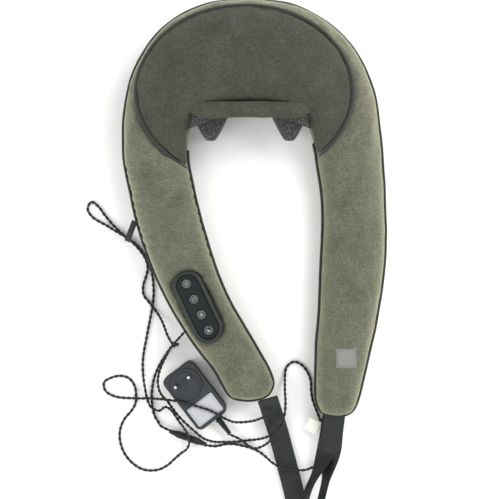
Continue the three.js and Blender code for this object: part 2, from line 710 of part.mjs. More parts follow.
const CASE_SPLIT = 15;
const caseShape = roundedShape(ADAPTER.length, ADAPTER.width, 7);
const caseRoomShape = roundedShape(ADAPTER.length - 4, ADAPTER.width - 4, 5);
const reliefHole = solid(rodAlongX(3.6, ADAPTER.length / 2 - 8, ADAPTER.length / 2 + 8, 4, 9, 16));
const lowerCase = solid(prism(caseShape, 0, CASE_SPLIT, 5)).subtract(solid(prism(caseRoomShape, 2, 99, 5)));
add('adapter_lower_case', lowerCase.subtract(reliefHole), 'darkPlastic', adapter);
const INSERT = { x: -17, r: 19, depth: 8 };
const upperCase = solid(prism(caseShape, CASE_SPLIT + GAP, ADAPTER.height, 5))
  .subtract(solid(prism(caseRoomShape, 0, ADAPTER.height - 2, 5)))
  .subtract(solid(rod(INSERT.r + GAP, 0, 99, INSERT.x, 0, 24)));
add('adapter_upper_case', upperCase, 'darkPlastic', adapter);
const insertProfile = [
  [0, ADAPTER.height - INSERT.depth], [INSERT.r, ADAPTER.height - INSERT.depth],
  [INSERT.r, ADAPTER.height + 3], [INSERT.r - 2, ADAPTER.height + 5], [0, ADAPTER.height + 5],
];
const PIN_X = INSERT.x - 6;
let insert = solid(turned(insertProfile, 24).translate(INSERT.x, 0, 0));
for (const side of [-1, 1]) {
  insert = insert.subtract(solid(rod(2.3, ADAPTER.height - 4, 99, PIN_X, (side * PIN_SPACING) / 2, 12)));
}
add('plug_insert', insert, 'darkPlastic', adapter);
['left', 'right'].forEach((name, i) => {
  const side = i === 0 ? -1 : 1;
  const low = ADAPTER.height - 3.5;
  const tip = ADAPTER.height + 23;
  const pin = turned([[0, low], [2, low], [2, tip - 1.6], [1, tip], [0, tip]], 12);
  add(`${name}_plug_pin`, pin.translate(PIN_X, (side * PIN_SPACING) / 2, 0), 'steel', adapter);
});
const labelTop = ADAPTER.height + GAP;
add('adapter_label', box(8, 33, -18, 18, labelTop, labelTop + 0.4), 'white', adapter);
const reliefProfile = [[LEAD_R + 0.4, 0], [3.2, 0], [3.2, 10], [4.6, 11], [4.6, 13]];
for (let i = 0; i < 4; i += 1) {
  const z = 15 + i * 4.5;
  const groove = 3.2 - i * 0.15;
  const rib = groove + 0.7;
  reliefProfile.push([groove, z], [groove, z + 1.4], [rib, z + 1.8], [rib, z + 4]);
}
reliefProfile.push([LEAD_R + 0.4, 33], [LEAD_R + 0.4, 0]);
const relief = turned(reliefProfile, 10).rotateY(Math.PI / 2).translate(ADAPTER.length / 2 - 7, 4, 9);
add('adapter_strain_relief', relief, 'rubber', adapter);

// ---- in-line connector ----

const connector = new THREE.Group();
connector.position.set(CONNECTOR.x, CONNECTOR.y, CONNECTOR.z);
connector.rotation.z = Math.atan2(CONNECTOR.dy, CONNECTOR.dx);
connector.updateMatrix();
massager.add(connector);
const R = CONNECTOR.r;
const SOCKET_DEPTH = 11;
const bored = 2.9;
const socketOutline = [
  [0, -24], [LEAD_R + 0.8, -24], [R, -19], [R, -0.4], [bored, -0.4], [bored, -SOCKET_DEPTH],
  [0, -SOCKET_DEPTH],
];
const plugOutline = [[0, -9.5], [2.5, -9.5], [2.5, 0.4], [R, 0.4], [R, 19], [LEAD_R + 0.8, 24], [0, 24]];
add('inline_socket', turned(socketOutline, 16).rotateY(Math.PI / 2), 'rubber', connector);
add('inline_plug', turned(plugOutline, 16).rotateY(Math.PI / 2), 'rubber', connector);

// ---- leads, laid on the ground and over whatever they cross ----

const CASE_REACH = 8;
function inAdapter(x, y) {
  const local = new THREE.Vector3(x, y, 0).applyMatrix4(adapter.matrix.clone().invert());
  const inLength = Math.abs(local.x) < ADAPTER.length / 2 + CASE_REACH;
  const inWidth = Math.abs(local.y) < ADAPTER.width / 2 + CASE_REACH;
  return inLength && inWidth ? ADAPTER.height + 0.8 : 0;
}

function nearPath(path, reach, rise) {
  const spots = path.getSpacedPoints(80);
  const topOf = (x, y) => (p) => (Math.hypot(p.x - x, p.y - y) < reach ? p.z + rise : 0);
  return (x, y) => Math.max(...spots.map(topOf(x, y)));
}

function lay(plan, under, steps, reach) {
  const flat = curveThrough(plan.map(([x, y]) => [x, y, 0]));
  const points = flat.getSpacedPoints(steps);
  const span = flat.getLength() / steps;
  points.forEach((p) => {
    p.z = LEAD_R + 0.3 + Math.max(0, ...under.map((height) => height(p.x, p.y)));
  });
  const slope = 0.8 * span;
  for (let round = 0; round < 8; round += 1) {
    for (let i = 1; i < points.length; i += 1) {
      points[i].z = Math.max(points[i].z, points[i - 1].z - slope);
    }
    for (let i = points.length - 2; i >= 0; i -= 1) {
      points[i].z = Math.max(points[i].z, points[i + 1].z - slope);
    }
    for (let i = 0; i < points.length; i += 1) {
      for (let j = 0; j < i - 6; j += 1) {
        const apart = Math.hypot(points[i].x - points[j].x, points[i].y - points[j].y);
        if (apart < reach && points[i].z < points[j].z + 2 * LEAD_R + 0.9) {
          points[i].z = points[j].z + 2 * LEAD_R + 0.9;
        }
      }
    }
  }
  return points;
}

const tail = new THREE.Vector3(-25.6, 0, 0).applyMatrix4(connector.matrix);
const pigtail = [[-82, -194], [-96, -210], [-114, -241], [-119, -267], [-116, -292], [-108, -305]];
const pigtailPoints = lay(pigtail, [], 24, 4);
pigtailPoints[0].z = 24;
pigtailPoints[1].z = 21;
pigtailPoints[2].z = 15;
pigtailPoints[3].z = 9;
pigtailPoints[4].z = 5;
pigtailPoints.push(tail);
pigtailPoints[pigtailPoints.length - 2].z = 3.6;
const pigtailPath = new THREE.CatmullRomCurve3(pigtailPoints, false, 'centripetal');
add('pigtail_lead', tube(pigtailPath, LEAD_R, 26, 4), 'rubber');

const PLUG_TRAVEL = 5;
const nearConnector = (x, y) => {
  const local = new THREE.Vector3(x, y, 0).applyMatrix4(connector.matrix.clone().invert());
  return local.x > -38 && local.x < 22 && Math.abs(local.y) < 12 ? 2 * R + 2.4 : 0;
};
const overPigtail = nearPath(pigtailPath, 11 + PLUG_TRAVEL / 2, LEAD_R + 1);
const overStrap = nearPath(leftLoop, STRAP_WIDTH / 2 + 6, 4.6);

// The lead's way on the ground, from the in-line plug to the adapter.
const toRightArm = [
  [-51, -329], [-40, -330], [-26, -327], [6, -334], [28, -349], [42, -355], [73, -356], [92, -345],
];
const roundRightArm = [
  [97, -325], [86, -300], [75, -270], [73, -248], [66, -235], [56, -227], [45, -233], [42, -255],
];
const overLeftStrap = [[42, -280], [36, -303], [16, -318], [-17, -324]];
const upLeftArm = [
  [-47, -321], [-70, -304], [-92, -282], [-107, -263], [-109, -241], [-99, -216], [-90, -204],
];
const downAgain = [
  [-84, -203], [-84, -209], [-94, -201], [-107, -176], [-121, -157], [-130, -143], [-124, -112],
];
const highLoop = [
  [-133, -93], [-164, -64], [-182, -42], [-189, -33], [-197, -38], [-192, -51], [-171, -64], [-133, -90],
];
const downToCrossing = [
  [-120, -116], [-117, -150], [-124, -191], [-130, -229], [-127, -258], [-121, -280], [-111, -287],
];
const lowLoop = [
  [-100, -280], [-84, -296], [-73, -326], [-89, -343], [-107, -357], [-130, -358], [-150, -342],
  [-158, -319], [-154, -300],
];
const sideLoop = [
  [-139, -279], [-141, -254], [-152, -245], [-171, -248], [-178, -255], [-173, -265], [-156, -271],
];
const overAdapter = [[-126, -271], [-92, -271], [-70, -276], [-45, -284], [-17, -299], [2, -297], [17, -291]];
const toRelief = [[29, -292], [32, -305], [22, -322], [4, -332], [-10, -322]];
const wholeWay = [
  ...toRightArm, ...roundRightArm, ...overLeftStrap, ...upLeftArm, ...downAgain, ...highLoop,
  ...downToCrossing, ...lowLoop, ...sideLoop, ...overAdapter, ...toRelief,
];
const leadPoints = lay(wholeWay, [inAdapter, nearConnector, overPigtail, overStrap], 240, 5);
const leadStart = new THREE.Vector3(25.6, 0, 0).applyMatrix4(connector.matrix);
const leadEnd = new THREE.Vector3(ADAPTER.length / 2 + 27, 4, 9).applyMatrix4(adapter.matrix);
leadPoints[0] = leadStart;
leadPoints.push(leadEnd);
const leadPath = new THREE.CatmullRomCurve3(leadPoints, false, 'centripetal');
add('adapter_lead', tube(leadPath, LEAD_R, 170, 4), 'rubber');
massager.position.y = -REST_Y;

export default massager;
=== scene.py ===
"""Shiatsu neck massager: the looks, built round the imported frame.

Metres, in the frame's axes: +Z up, the massager lies flat with its outer face up.
"""

import json
import math
import random

import bmesh
import bpy
import numpy as np
from mathutils import Matrix, Vector, noise
from mathutils.bvhtree import BVHTree


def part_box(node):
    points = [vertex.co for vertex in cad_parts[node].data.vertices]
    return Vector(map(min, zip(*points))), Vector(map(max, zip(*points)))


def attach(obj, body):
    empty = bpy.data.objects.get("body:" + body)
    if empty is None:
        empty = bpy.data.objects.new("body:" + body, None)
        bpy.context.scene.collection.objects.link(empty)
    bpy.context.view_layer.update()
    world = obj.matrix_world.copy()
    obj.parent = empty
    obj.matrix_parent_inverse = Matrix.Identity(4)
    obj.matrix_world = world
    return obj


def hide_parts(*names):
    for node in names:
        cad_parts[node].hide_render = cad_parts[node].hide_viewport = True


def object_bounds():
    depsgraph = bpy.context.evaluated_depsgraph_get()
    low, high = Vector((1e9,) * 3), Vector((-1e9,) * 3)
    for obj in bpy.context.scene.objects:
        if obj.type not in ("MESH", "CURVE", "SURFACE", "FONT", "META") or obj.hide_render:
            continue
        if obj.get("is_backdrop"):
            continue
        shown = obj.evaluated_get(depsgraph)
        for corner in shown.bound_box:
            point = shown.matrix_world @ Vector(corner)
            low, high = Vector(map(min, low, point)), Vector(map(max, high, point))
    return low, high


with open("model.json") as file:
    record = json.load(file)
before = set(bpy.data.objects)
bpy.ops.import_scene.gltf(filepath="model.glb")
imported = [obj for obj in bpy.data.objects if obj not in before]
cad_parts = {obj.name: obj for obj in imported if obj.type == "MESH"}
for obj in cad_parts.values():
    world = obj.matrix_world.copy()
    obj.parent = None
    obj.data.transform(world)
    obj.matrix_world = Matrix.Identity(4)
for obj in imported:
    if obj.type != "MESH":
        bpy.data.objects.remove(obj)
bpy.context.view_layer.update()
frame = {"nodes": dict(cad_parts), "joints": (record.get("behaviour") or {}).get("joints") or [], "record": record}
nodes = frame["nodes"]
joints = {joint["name"]: joint for joint in frame["joints"]}
MM = 0.001
ROOT = "massager"
LEAD_SIDE = "adapter_side"  # the body that pulls out: in-line plug, lead and adapter
UP, DOWN = Vector((0, 0, 1)), Vector((0, 0, -1))
SKY = 0.3  # rays cast down onto the cushions start here
random.seed(7)


# ---- meshes ----

def new_object(name, verts, faces, material, body=ROOT, smooth=True):
    mesh = bpy.data.meshes.new(name)
    mesh.from_pydata([tuple(v) for v in verts], [], faces)
    mesh.validate()
    tidy = bmesh.new()
    tidy.from_mesh(mesh)
    bmesh.ops.recalc_face_normals(tidy, faces=tidy.faces)
    tidy.to_mesh(mesh)
    tidy.free()
    return link_object(name, mesh, material, body, smooth)


def link_object(name, mesh, material, body=ROOT, smooth=True):
    piece = bpy.data.objects.new(name, mesh)
    bpy.context.scene.collection.objects.link(piece)
    mesh.materials.clear()
    mesh.materials.append(material)
    for polygon in mesh.polygons:
        polygon.use_smooth = smooth
    if body:
        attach(piece, body)
    return piece


def stand_in(piece, slot, *replaced):
    """Hides the CAD nodes that a piece stands for. The slot is not used."""
    if replaced:
        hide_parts(*replaced)
    return piece


def build(name, part, slot, *replaced, body=ROOT, look=None, smooth=True):
    """A new piece from a (verts, faces) part, in its slot's own look unless another is given."""
    piece = new_object(name, *part, MATERIALS[look or slot], body, smooth)
    return stand_in(piece, slot, *replaced)


def joined(*parts):
    """One vertex list and one face list from several."""
    verts, faces = [], []
    for part_verts, part_faces in parts:
        start = len(verts)
        verts.extend(part_verts)
        faces.extend([[start + i for i in face] for face in part_faces])
    return verts, faces


def loft(rings, closed_ends=True, closed_loop=False):
    """Faces between rings of the same number of points."""
    count = len(rings[0])
    verts = [Vector(p) for ring in rings for p in ring]
    faces = []
    last = len(rings) if closed_loop else len(rings) - 1
    for row in range(last):
        following = (row + 1) % len(rings)
        for i in range(count):
            j = (i + 1) % count
            faces.append([row * count + i, row * count + j, following * count + j, following * count + i])
    if closed_ends and not closed_loop:
        faces.append(list(range(count))[::-1])
        faces.append([(len(rings) - 1) * count + i for i in range(count)])
    return verts, faces


def angles(count):
    return [2 * math.pi * i / count for i in range(count)]


def circle(radius, count, z=0.0):
    return [Vector((radius * math.cos(a), radius * math.sin(a), z)) for a in angles(count)]


def turned(profile, count=48):
    """A turned shape about z from (radius, z) pairs. End radii above zero are capped flat."""
    return loft([circle(max(r, 1e-5), count, z) for r, z in profile])


def placed(part, matrix):
    verts, faces = part
    return [matrix @ Vector(v) for v in verts], faces


def at_height(point, z):
    return Vector((point.x, point.y, z))


def heading_at(points, i):
    """The curve's direction at a point, from its two neighbours."""
    return (points[min(i + 1, len(points) - 1)] - points[max(i - 1, 0)]).normalized()


def tube(points, radius, count=10, closed=False):
    """A round tube along points, with frames carried along so that it doesn't twist."""
    points = [Vector(p) for p in points]
    rings = []
    normal = None
    for i, point in enumerate(points):
        before = points[i - 1] if i or closed else point
        after = points[(i + 1) % len(points)] if i < len(points) - 1 or closed else point
        forward = (after - before).normalized()
        if normal is None:
            helper = UP if abs(forward.z) < 0.8 else Vector((1, 0, 0))
            normal = forward.cross(helper).normalized()
        normal = (normal - forward * normal.dot(forward)).normalized()
        side = forward.cross(normal)
        rings.append([point + radius * (normal * math.cos(a) + side * math.sin(a)) for a in angles(count)])
    return loft(rings, closed_loop=closed)


def travelled_along(points):
    """Distance from the first point to each point."""
    return np.concatenate([[0], np.cumsum(np.linalg.norm(np.diff(points, axis=0), axis=1))])


def resample(points, step):
    """Evenly spaced points on a smooth curve through the given points."""
    points = np.array([tuple(p) for p in points], float)
    dense = []
    padded = np.vstack([2 * points[0] - points[1], points, 2 * points[-1] - points[-2]])
    for i in range(1, len(padded) - 2):
        p0, p1, p2, p3 = padded[i - 1:i + 3]
        for t in np.linspace(0, 1, 8, endpoint=False):
            dense.append(0.5 * (2 * p1 + (p2 - p0) * t + (2 * p0 - 5 * p1 + 4 * p2 - p3) * t ** 2
                                + (3 * p1 - p0 - 3 * p2 + p3) * t ** 3))
    dense.append(points[-1])
    dense = np.array(dense)
    travelled = travelled_along(dense)
    count = max(int(travelled[-1] / step), 2)
    spots = np.linspace(0, travelled[-1], count + 1)
    columns = [np.interp(spots, travelled, dense[:, k]) for k in range(3)]
    return [Vector(p) for p in np.stack(columns, axis=1)]


CORNERS = 4  # of a CAD tube's or band's section


def tube_rings(node):
    """The corners of each ring of a CAD tube, in order from one end. End corners meet fewer edges."""
    mesh = bmesh.new()
    mesh.from_mesh(nodes[node].data)
    bmesh.ops.remove_doubles(mesh, verts=mesh.verts, dist=1e-6)
    mesh.verts.ensure_lookup_table()
    ends = {v for v in mesh.verts if len(v.link_edges) <= 5}
    ring = [min(ends, key=lambda v: v.index)]
    for v in ring:
        ring.extend(o for e in v.link_edges for o in [e.other_vert(v)] if o in ends and o not in ring)
    ring = ring[:CORNERS]
    rings = []
    seen = set(ring)
    while ring:
        rings.append([v.co.copy() for v in ring])
        ahead = {o for v in ring for e in v.link_edges for o in [e.other_vert(v)] if o not in seen}
        ring = sorted(ahead, key=lambda v: v.index)
        seen |= ahead
    mesh.free()
    return rings


def centre_line(node):
    return [sum(ring, Vector()) / len(ring) for ring in tube_rings(node)]


# ---- materials ----

class Look:
    """A node material built up in steps around one Principled shader."""

    def __init__(self, name, color, roughness, metallic=0.0, sheen=0.0, coat=0.0, specular=0.5):
        self.material = bpy.data.materials.new(name)
        self.material.use_nodes = True
        self.tree = self.material.node_tree
        self.shader = self.tree.nodes["Principled BSDF"]
        self.fill(self.shader, {
            "Base Color": (*color, 1), "Roughness": roughness, "Metallic": metallic, "Sheen Weight": sheen,
            "Sheen Roughness": 0.4, "Coat Weight": coat, "Specular IOR Level": specular})
        self.height = None
        self.place = self.add("ShaderNodeTexCoord").outputs["Object"]

    def fill(self, node, values):
        for socket, value in values.items():
            node.inputs[socket].default_value = value

    def add(self, kind, values=None, **settings):
        node = self.tree.nodes.new(kind)
        for key, value in settings.items():
            setattr(node, key, value)
        self.fill(node, values or {})
        return node

    def link(self, out, into):
        self.tree.links.new(out, into)

    def math(self, operation, a, b, clamp=False):
        node = self.add("ShaderNodeMath", operation=operation, use_clamp=clamp)
        for socket, value in zip(node.inputs, (a, b)):
            if isinstance(value, (int, float)):
                socket.default_value = value
            else:
                self.link(value, socket)
        return node.outputs[0]

    def blend(self, a, b, share):
        """Two heights added together, the first weighing its share."""
        return self.math("ADD", self.math("MULTIPLY", a, share), self.math("MULTIPLY", b, 1 - share))

    def placed_on(self, node, stretch=(1, 1, 1)):
        mapping = self.add("ShaderNodeMapping", {"Scale": stretch})
        self.link(self.place, mapping.inputs["Vector"])
        self.link(mapping.outputs[0], node.inputs["Vector"])

    def noise(self, scale, detail=4, rough=0.6, stretch=(1, 1, 1)):
        node = self.add("ShaderNodeTexNoise", {"Scale": scale, "Detail": detail, "Roughness": rough})
        self.placed_on(node, stretch)
        return node.outputs["Fac"]

    def cells(self, scale, feature="F1"):
        node = self.add("ShaderNodeTexVoronoi", {"Scale": scale}, feature=feature)
        self.placed_on(node)
        return node.outputs["Distance"]

    def ramp(self, fac, stops):
        node = self.add("ShaderNodeValToRGB")
        elements = node.color_ramp.elements
        while len(elements) < len(stops):
            elements.new(0.5)
        for element, (where, color) in zip(elements, stops):
            element.position = where
            element.color = (*color, 1)
        self.link(fac, node.inputs["Fac"])
        return node.outputs["Color"]

    def base(self, color_out):
        self.link(color_out, self.shader.inputs["Base Color"])

    def mixed(self, fac, a, b, blend="MIX"):
        node = self.add("ShaderNodeMix", data_type="RGBA", blend_type=blend)
        for index, value in ((0, fac), (6, a), (7, b)):
            if isinstance(value, (int, float)):
                node.inputs[index].default_value = value
            elif isinstance(value, tuple):
                node.inputs[index].default_value = (*value, 1)
            else:
                self.link(value, node.inputs[index])
        return node.outputs[2]

    def rough(self, fac, low, high):
        node = self.add("ShaderNodeMapRange", {"To Min": low, "To Max": high})
        self.link(fac, node.inputs["Value"])
        self.link(node.outputs[0], self.shader.inputs["Roughness"])

    def bump(self, height, distance, strength):
        node = self.add("ShaderNodeBump", {"Strength": strength, "Distance": distance})
        self.link(height, node.inputs["Height"])
        if self.height:
            self.link(self.height, node.inputs["Normal"])
        self.height = node.outputs["Normal"]
        self.link(self.height, self.shader.inputs["Normal"])


def shade(color, factor):
    return tuple(min(channel * factor, 1) for channel in color)


MATT_SPECULAR = 0.3  # of rubbery and moulded surfaces, below the usual 0.5


def suede(name, color, warm, rim):
    """Short brushed pile: a salt-and-pepper grain over soft hand-brushed clouds, with a painted sheen towards
    `rim` at grazing angles.
    """
    look = Look(name, color, 0.95, sheen=0.25)
    grain = look.noise(900, 3, 0.75)
    fine = look.noise(2600, 2, 0.6)
    clouds = look.noise(38, 5, 0.62)
    nap = look.noise(150, 4, 0.7, stretch=(1, 2.2, 1))
    flecks = look.ramp(look.blend(grain, fine, 0.65),
                       [(0.36, shade(color, 0.42)), (0.5, color), (0.66, shade(warm, 1.9))])
    brushed = look.ramp(look.blend(clouds, nap, 0.6),
                        [(0.34, (0.66, 0.66, 0.66)), (0.52, (1, 1, 1)), (0.7, (1.35, 1.35, 1.3))])
    pile = look.mixed(1.0, flecks, brushed, "MULTIPLY")
    # Painted sheen: the more the surface faces away from the view, the more the colour is lifted towards `rim`
    # times the grain. This is a painted highlight on the slopes and rims of the cushions.
    layer = look.add("ShaderNodeLayerWeight", {"Blend": 0.4})
    painted_sheen_share = look.math("MULTIPLY", look.math("POWER", layer.outputs["Facing"], 1.4), 0.85, clamp=True)
    look.base(look.mixed(painted_sheen_share, pile, look.mixed(1.0, flecks, (rim, rim, rim * 0.95), "MULTIPLY")))
    look.fill(look.shader, {"Sheen Tint": (*shade(warm, 3.2), 1)})
    look.rough(nap, 0.85, 1.0)
    look.bump(grain, 0.0006, 0.8)
    look.bump(nap, 0.0009, 0.45)
    return look.material


def woven(name, color, scale, contrast=0.5):
    """Plain weave: two crossed sets of threads."""
    look = Look(name, color, 0.8, sheen=0.25)
    waves = []
    for direction in ("X", "Y"):
        wave = look.add("ShaderNodeTexWave", {"Scale": scale, "Distortion": 0.6},
                        wave_type="BANDS", bands_direction=direction)
        look.link(look.place, wave.inputs["Vector"])
        waves.append(wave.outputs["Fac"])
    threads = look.math("MAXIMUM", *waves)
    uneven = look.noise(400, 3)
    fac = look.math("MULTIPLY", threads, look.math("ADD", uneven, 0.5))
    look.base(look.ramp(fac, [(0.1, shade(color, 1 - contrast)), (0.6, color), (1.0, shade(color, 1 + contrast))]))
    look.bump(threads, 0.0003, 0.7)
    return look.material


def moulded(name, color, roughness, coat=0.0, depth=0.00006):
    """Moulded plastic: fine spark texture, a painted highlight on the edges, finger marks in the gloss."""
    look = Look(name, color, roughness, coat=coat, specular=MATT_SPECULAR)
    smudge = look.noise(55, 5, 0.65)
    fine = look.noise(1800, 3, 0.6)
    geometry = look.add("ShaderNodeNewGeometry")
    # Painted highlight: convex edges, found from pointiness, are lightened up to 1.4 times the colour.
    edge = look.ramp(geometry.outputs["Pointiness"], [(0.53, (0, 0, 0)), (0.62, (1, 1, 1))])
    edge_highlighted = look.mixed(look.math("MULTIPLY", edge, 0.4), color, shade(color, 2.0))
    look.base(look.mixed(look.math("MULTIPLY", smudge, 0.35), edge_highlighted, shade(color, 1.5)))
    look.rough(smudge, roughness * 0.75, min(roughness * 1.35, 1))
    look.bump(fine, depth, 0.5)
    return look.material


def metal(name, color, roughness):
    look = Look(name, color, roughness, metallic=1.0)
    streaks = look.noise(220, 4, 0.6, stretch=(1, 1, 60))
    tarnish = look.noise(60, 4)
    look.base(look.mixed(look.math("MULTIPLY", tarnish, 0.4), color, shade(color, 0.6)))
    look.rough(streaks, roughness * 0.7, roughness * 1.5)
    look.bump(streaks, 0.00004, 0.4)
    return look.material


def leatherette(name, color):
    look = Look(name, color, 0.5, coat=0.04, specular=MATT_SPECULAR)
    pebble = look.cells(900)
    creases = look.noise(120, 5, 0.6)
    look.base(look.ramp(creases, [(0.35, shade(color, 0.75)), (0.6, color), (0.8, shade(color, 1.7))]))
    look.rough(creases, 0.42, 0.7)
    look.bump(pebble, 0.00015, 0.5)
    look.bump(creases, 0.0004, 0.4)
    return look.material


def netting(name, color, thread):
    """Dense charcoal net with pale thread ends showing through."""
    look = Look(name, color, 0.85, sheen=0.3)
    cell = look.cells(520, "DISTANCE_TO_EDGE")
    holes = look.ramp(cell, [(0.06, (1, 1, 1)), (0.16, (0, 0, 0))])
    flecks = look.ramp(look.noise(800, 2, 0.5), [(0.59, (0, 0, 0)), (0.66, (1, 1, 1))])
    net = look.mixed(holes, shade(color, 0.35), shade(color, 1.5))
    look.base(look.mixed(look.math("MULTIPLY", flecks, 0.7), net, thread))
    look.bump(holes, 0.0006, 1.0)
    return look.material


def printed(name, color, roughness=0.55):
    look = Look(name, color, roughness)
    fibre = look.noise(700, 3, 0.6)
    soil = look.noise(45, 4)
    look.base(look.mixed(look.math("MULTIPLY", soil, 0.3), color, shade(color, 0.75)))
    look.rough(fibre, roughness * 0.8, min(roughness * 1.3, 1))
    look.bump(fibre, 0.00008, 0.4)
    return look.material


MATERIALS = {
    # The last number of each suede is the brightness of its painted rim sheen.
    "cover": suede("cover_suede", (0.088, 0.091, 0.064), (0.115, 0.114, 0.08), 4.2),
    "neck_panel": suede("neck_panel_suede", (0.039, 0.039, 0.029), (0.056, 0.054, 0.039), 2.6),
    "piping": woven("piping_cord", (0.018, 0.021, 0.017), 900),
    "net": netting("head_net", (0.013, 0.014, 0.013), (0.36, 0.35, 0.31)),
    "strap": leatherette("loop_leatherette", (0.012, 0.015, 0.013)),
    "stitch": printed("stitch_thread", (0.045, 0.05, 0.044), 0.8),
    "patch": woven("patch_weave", (0.2, 0.197, 0.178), 1100),
    "tab": woven("tab_weave", (0.018, 0.02, 0.018), 1300),
    "care_label": printed("care_label_satin", (0.86, 0.85, 0.77)),
    "panel_plastic": moulded("panel_plastic", (0.014, 0.017, 0.016), 0.42),
    "fascia": moulded("fascia_gloss", (0.005, 0.008, 0.008), 0.2, coat=0.15, depth=0.00001),
    "button": moulded("button_plastic", (0.012, 0.015, 0.015), 0.4, coat=0.05),
    "print": printed("button_print", (0.5, 0.54, 0.54)),
    "board": moulded("board_lacquer", (0.03, 0.11, 0.05), 0.35),
    "housing": moulded("housing_plastic", (0.03, 0.03, 0.032), 0.5),
    "steel": metal("turned_steel", (0.56, 0.56, 0.57), 0.3),
    "brass": metal("sintered_bronze", (0.58, 0.42, 0.2), 0.42),
    "nylon": moulded("natural_nylon", (0.74, 0.71, 0.6), 0.45),
    "node": moulded("node_rubber", (0.05, 0.05, 0.05), 0.75),
    "lead": moulded("lead_sheath", (0.01, 0.01, 0.01), 0.42),
    "connector": moulded("connector_rubber", (0.01, 0.011, 0.011), 0.5),
    "adapter_case": moulded("adapter_plastic", (0.024, 0.027, 0.031), 0.5),
    "pin": metal("pin_nickel", (0.72, 0.72, 0.7), 0.22),
    "adapter_label": printed("adapter_label_film", (0.4, 0.41, 0.43), 0.45),
}

for part in frame["record"]["subparts"]:
    cad = nodes[part["node"]]
    cad.data.materials.clear()
    cad.data.materials.append(MATERIALS[part["material_slot"]])


# ---- the gearbox's own axes, from its joints ----

head_axis = Vector(joints["left_head_turn"]["axis"]).normalized()
head_spots = {side: Vector(joints[f"{side}_head_turn"]["pos_m"]) for side in ("left", "right")}
gear_middle = (head_spots["left"] + head_spots["right"]) / 2
gear_x = Vector((1, 0, 0))
GEAR = Matrix.Translation(gear_middle) @ Matrix((gear_x, head_axis.cross(gear_x), head_axis)).transposed().to_4x4()
GEAR_BACK = GEAR.inverted()
HEAD_X = abs((GEAR_BACK @ head_spots["left"]).x)


# ---- padded pieces ----

def merged_copy(name, *node_names):
    whole = bmesh.new()
    for node in node_names:
        whole.from_mesh(nodes[node].data)
    mesh = bpy.data.meshes.new(name)
    whole.to_mesh(mesh)
    whole.free()
    return mesh


def apply_modifiers(piece):
    graph = bpy.context.evaluated_depsgraph_get()
    mesh = bpy.data.meshes.new_from_object(piece.evaluated_get(graph), depsgraph=graph)
    materials = list(piece.data.materials)
    piece.modifiers.clear()
    piece.data = mesh
    mesh.materials.clear()
    for material in materials:
        mesh.materials.append(material)
    for polygon in mesh.polygons:
        polygon.use_smooth = True


def reshaped(piece, kind, **settings):
    """One modifier, set up and applied."""
    modifier = piece.modifiers.new(kind.lower(), kind)
    for key, value in settings.items():
        setattr(modifier, key, value)
    apply_modifiers(piece)


def remesh(piece, voxel):
    reshaped(piece, "REMESH", mode="VOXEL", voxel_size=voxel)


def relax(piece, factor, rounds):
    reshaped(piece, "SMOOTH", factor=factor, iterations=rounds)


def subdivide(piece):
    reshaped(piece, "SUBSURF", levels=1, render_levels=1)


def vertex_table(mesh, attribute="co"):
    flat = np.zeros(len(mesh.vertices) * 3)
    mesh.vertices.foreach_get(attribute, flat)
    return flat.reshape(-1, 3)


def coords(piece):
    return vertex_table(piece.data)


def normals_of(piece):
    return vertex_table(piece.data, "normal")


def set_coords(piece, points):
    piece.data.vertices.foreach_set("co", np.asarray(points, float).ravel())
    piece.data.update()


PUFF_FRAMES = 16
PUFF_PRESSURE = 4


def puff(piece, cap, free):
    """Cloth under pressure; each point moves at most `cap`, scaled by `free` (0 holds it)."""
    start = coords(piece)
    group = piece.vertex_groups.new(name="held")
    for index, value in enumerate(free):
        if value < 0.05:
            group.add([index], 1.0, "REPLACE")
    cloth = piece.modifiers.new("puff", "CLOTH")
    settings = cloth.settings
    settings.use_pressure = True
    settings.uniform_pressure_force = PUFF_PRESSURE
    settings.vertex_group_mass = "held"
    settings.quality = 4
    settings.tension_stiffness = 18
    settings.compression_stiffness = 12
    settings.bending_stiffness = 0.8
    settings.effector_weights.gravity = 0
    cloth.collision_settings.use_collision = False
    scene = bpy.context.scene
    for number in range(1, PUFF_FRAMES + 1):
        scene.frame_set(number)
    graph = bpy.context.evaluated_depsgraph_get()
    moved = vertex_table(piece.evaluated_get(graph).to_mesh()) - start
    piece.modifiers.clear()
    scene.frame_set(1)
    size = np.linalg.norm(moved, axis=1, keepdims=True) + 1e-12
    moved *= np.minimum(size, cap) / size * np.asarray(free)[:, None]
    set_coords(piece, start + moved)


ROOM_HALF_X = 78 * MM
ROOM_Y = (-50 * MM, 33 * MM)
ROOM_Z = (-22 * MM, 45 * MM)


def in_gearbox_room(points):
    """True for points of the hollow that holds the gearbox, which stays as cut."""
    inverse = np.array(GEAR_BACK)
    x, y, z = (points @ inverse[:3, :3].T + inverse[:3, 3]).T
    inside = (np.abs(x) < ROOM_HALF_X) & (y > ROOM_Y[0]) & (y < ROOM_Y[1])
    return inside & (z > ROOM_Z[0]) & (z < ROOM_Z[1])


cover = link_object("cover", merged_copy("cover", "neck_cover", "left_arm_cushion", "right_arm_cushion"),
                    MATERIALS["cover"])
remesh(cover, 4.5 * MM)
relax(cover, 0.5, 6)
panel_low, panel_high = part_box("control_bezel")
panel_middle = (Vector(panel_low) + Vector(panel_high)) / 2


def cover_freedom(points):
    """How freely the cover swells: not in the gearbox room or on the ground, and flat round the panel."""
    free = np.ones(len(points))
    free[in_gearbox_room(points)] = 0
    free[points[:, 2] < 3 * MM] = 0
    reach = np.hypot(points[:, 0] - panel_middle.x, points[:, 1] - panel_middle.y)
    return free * np.clip((reach - 40 * MM) / (25 * MM), 0, 1)


puff(cover, 4 * MM, cover_freedom(coords(cover)))
subdivide(cover)

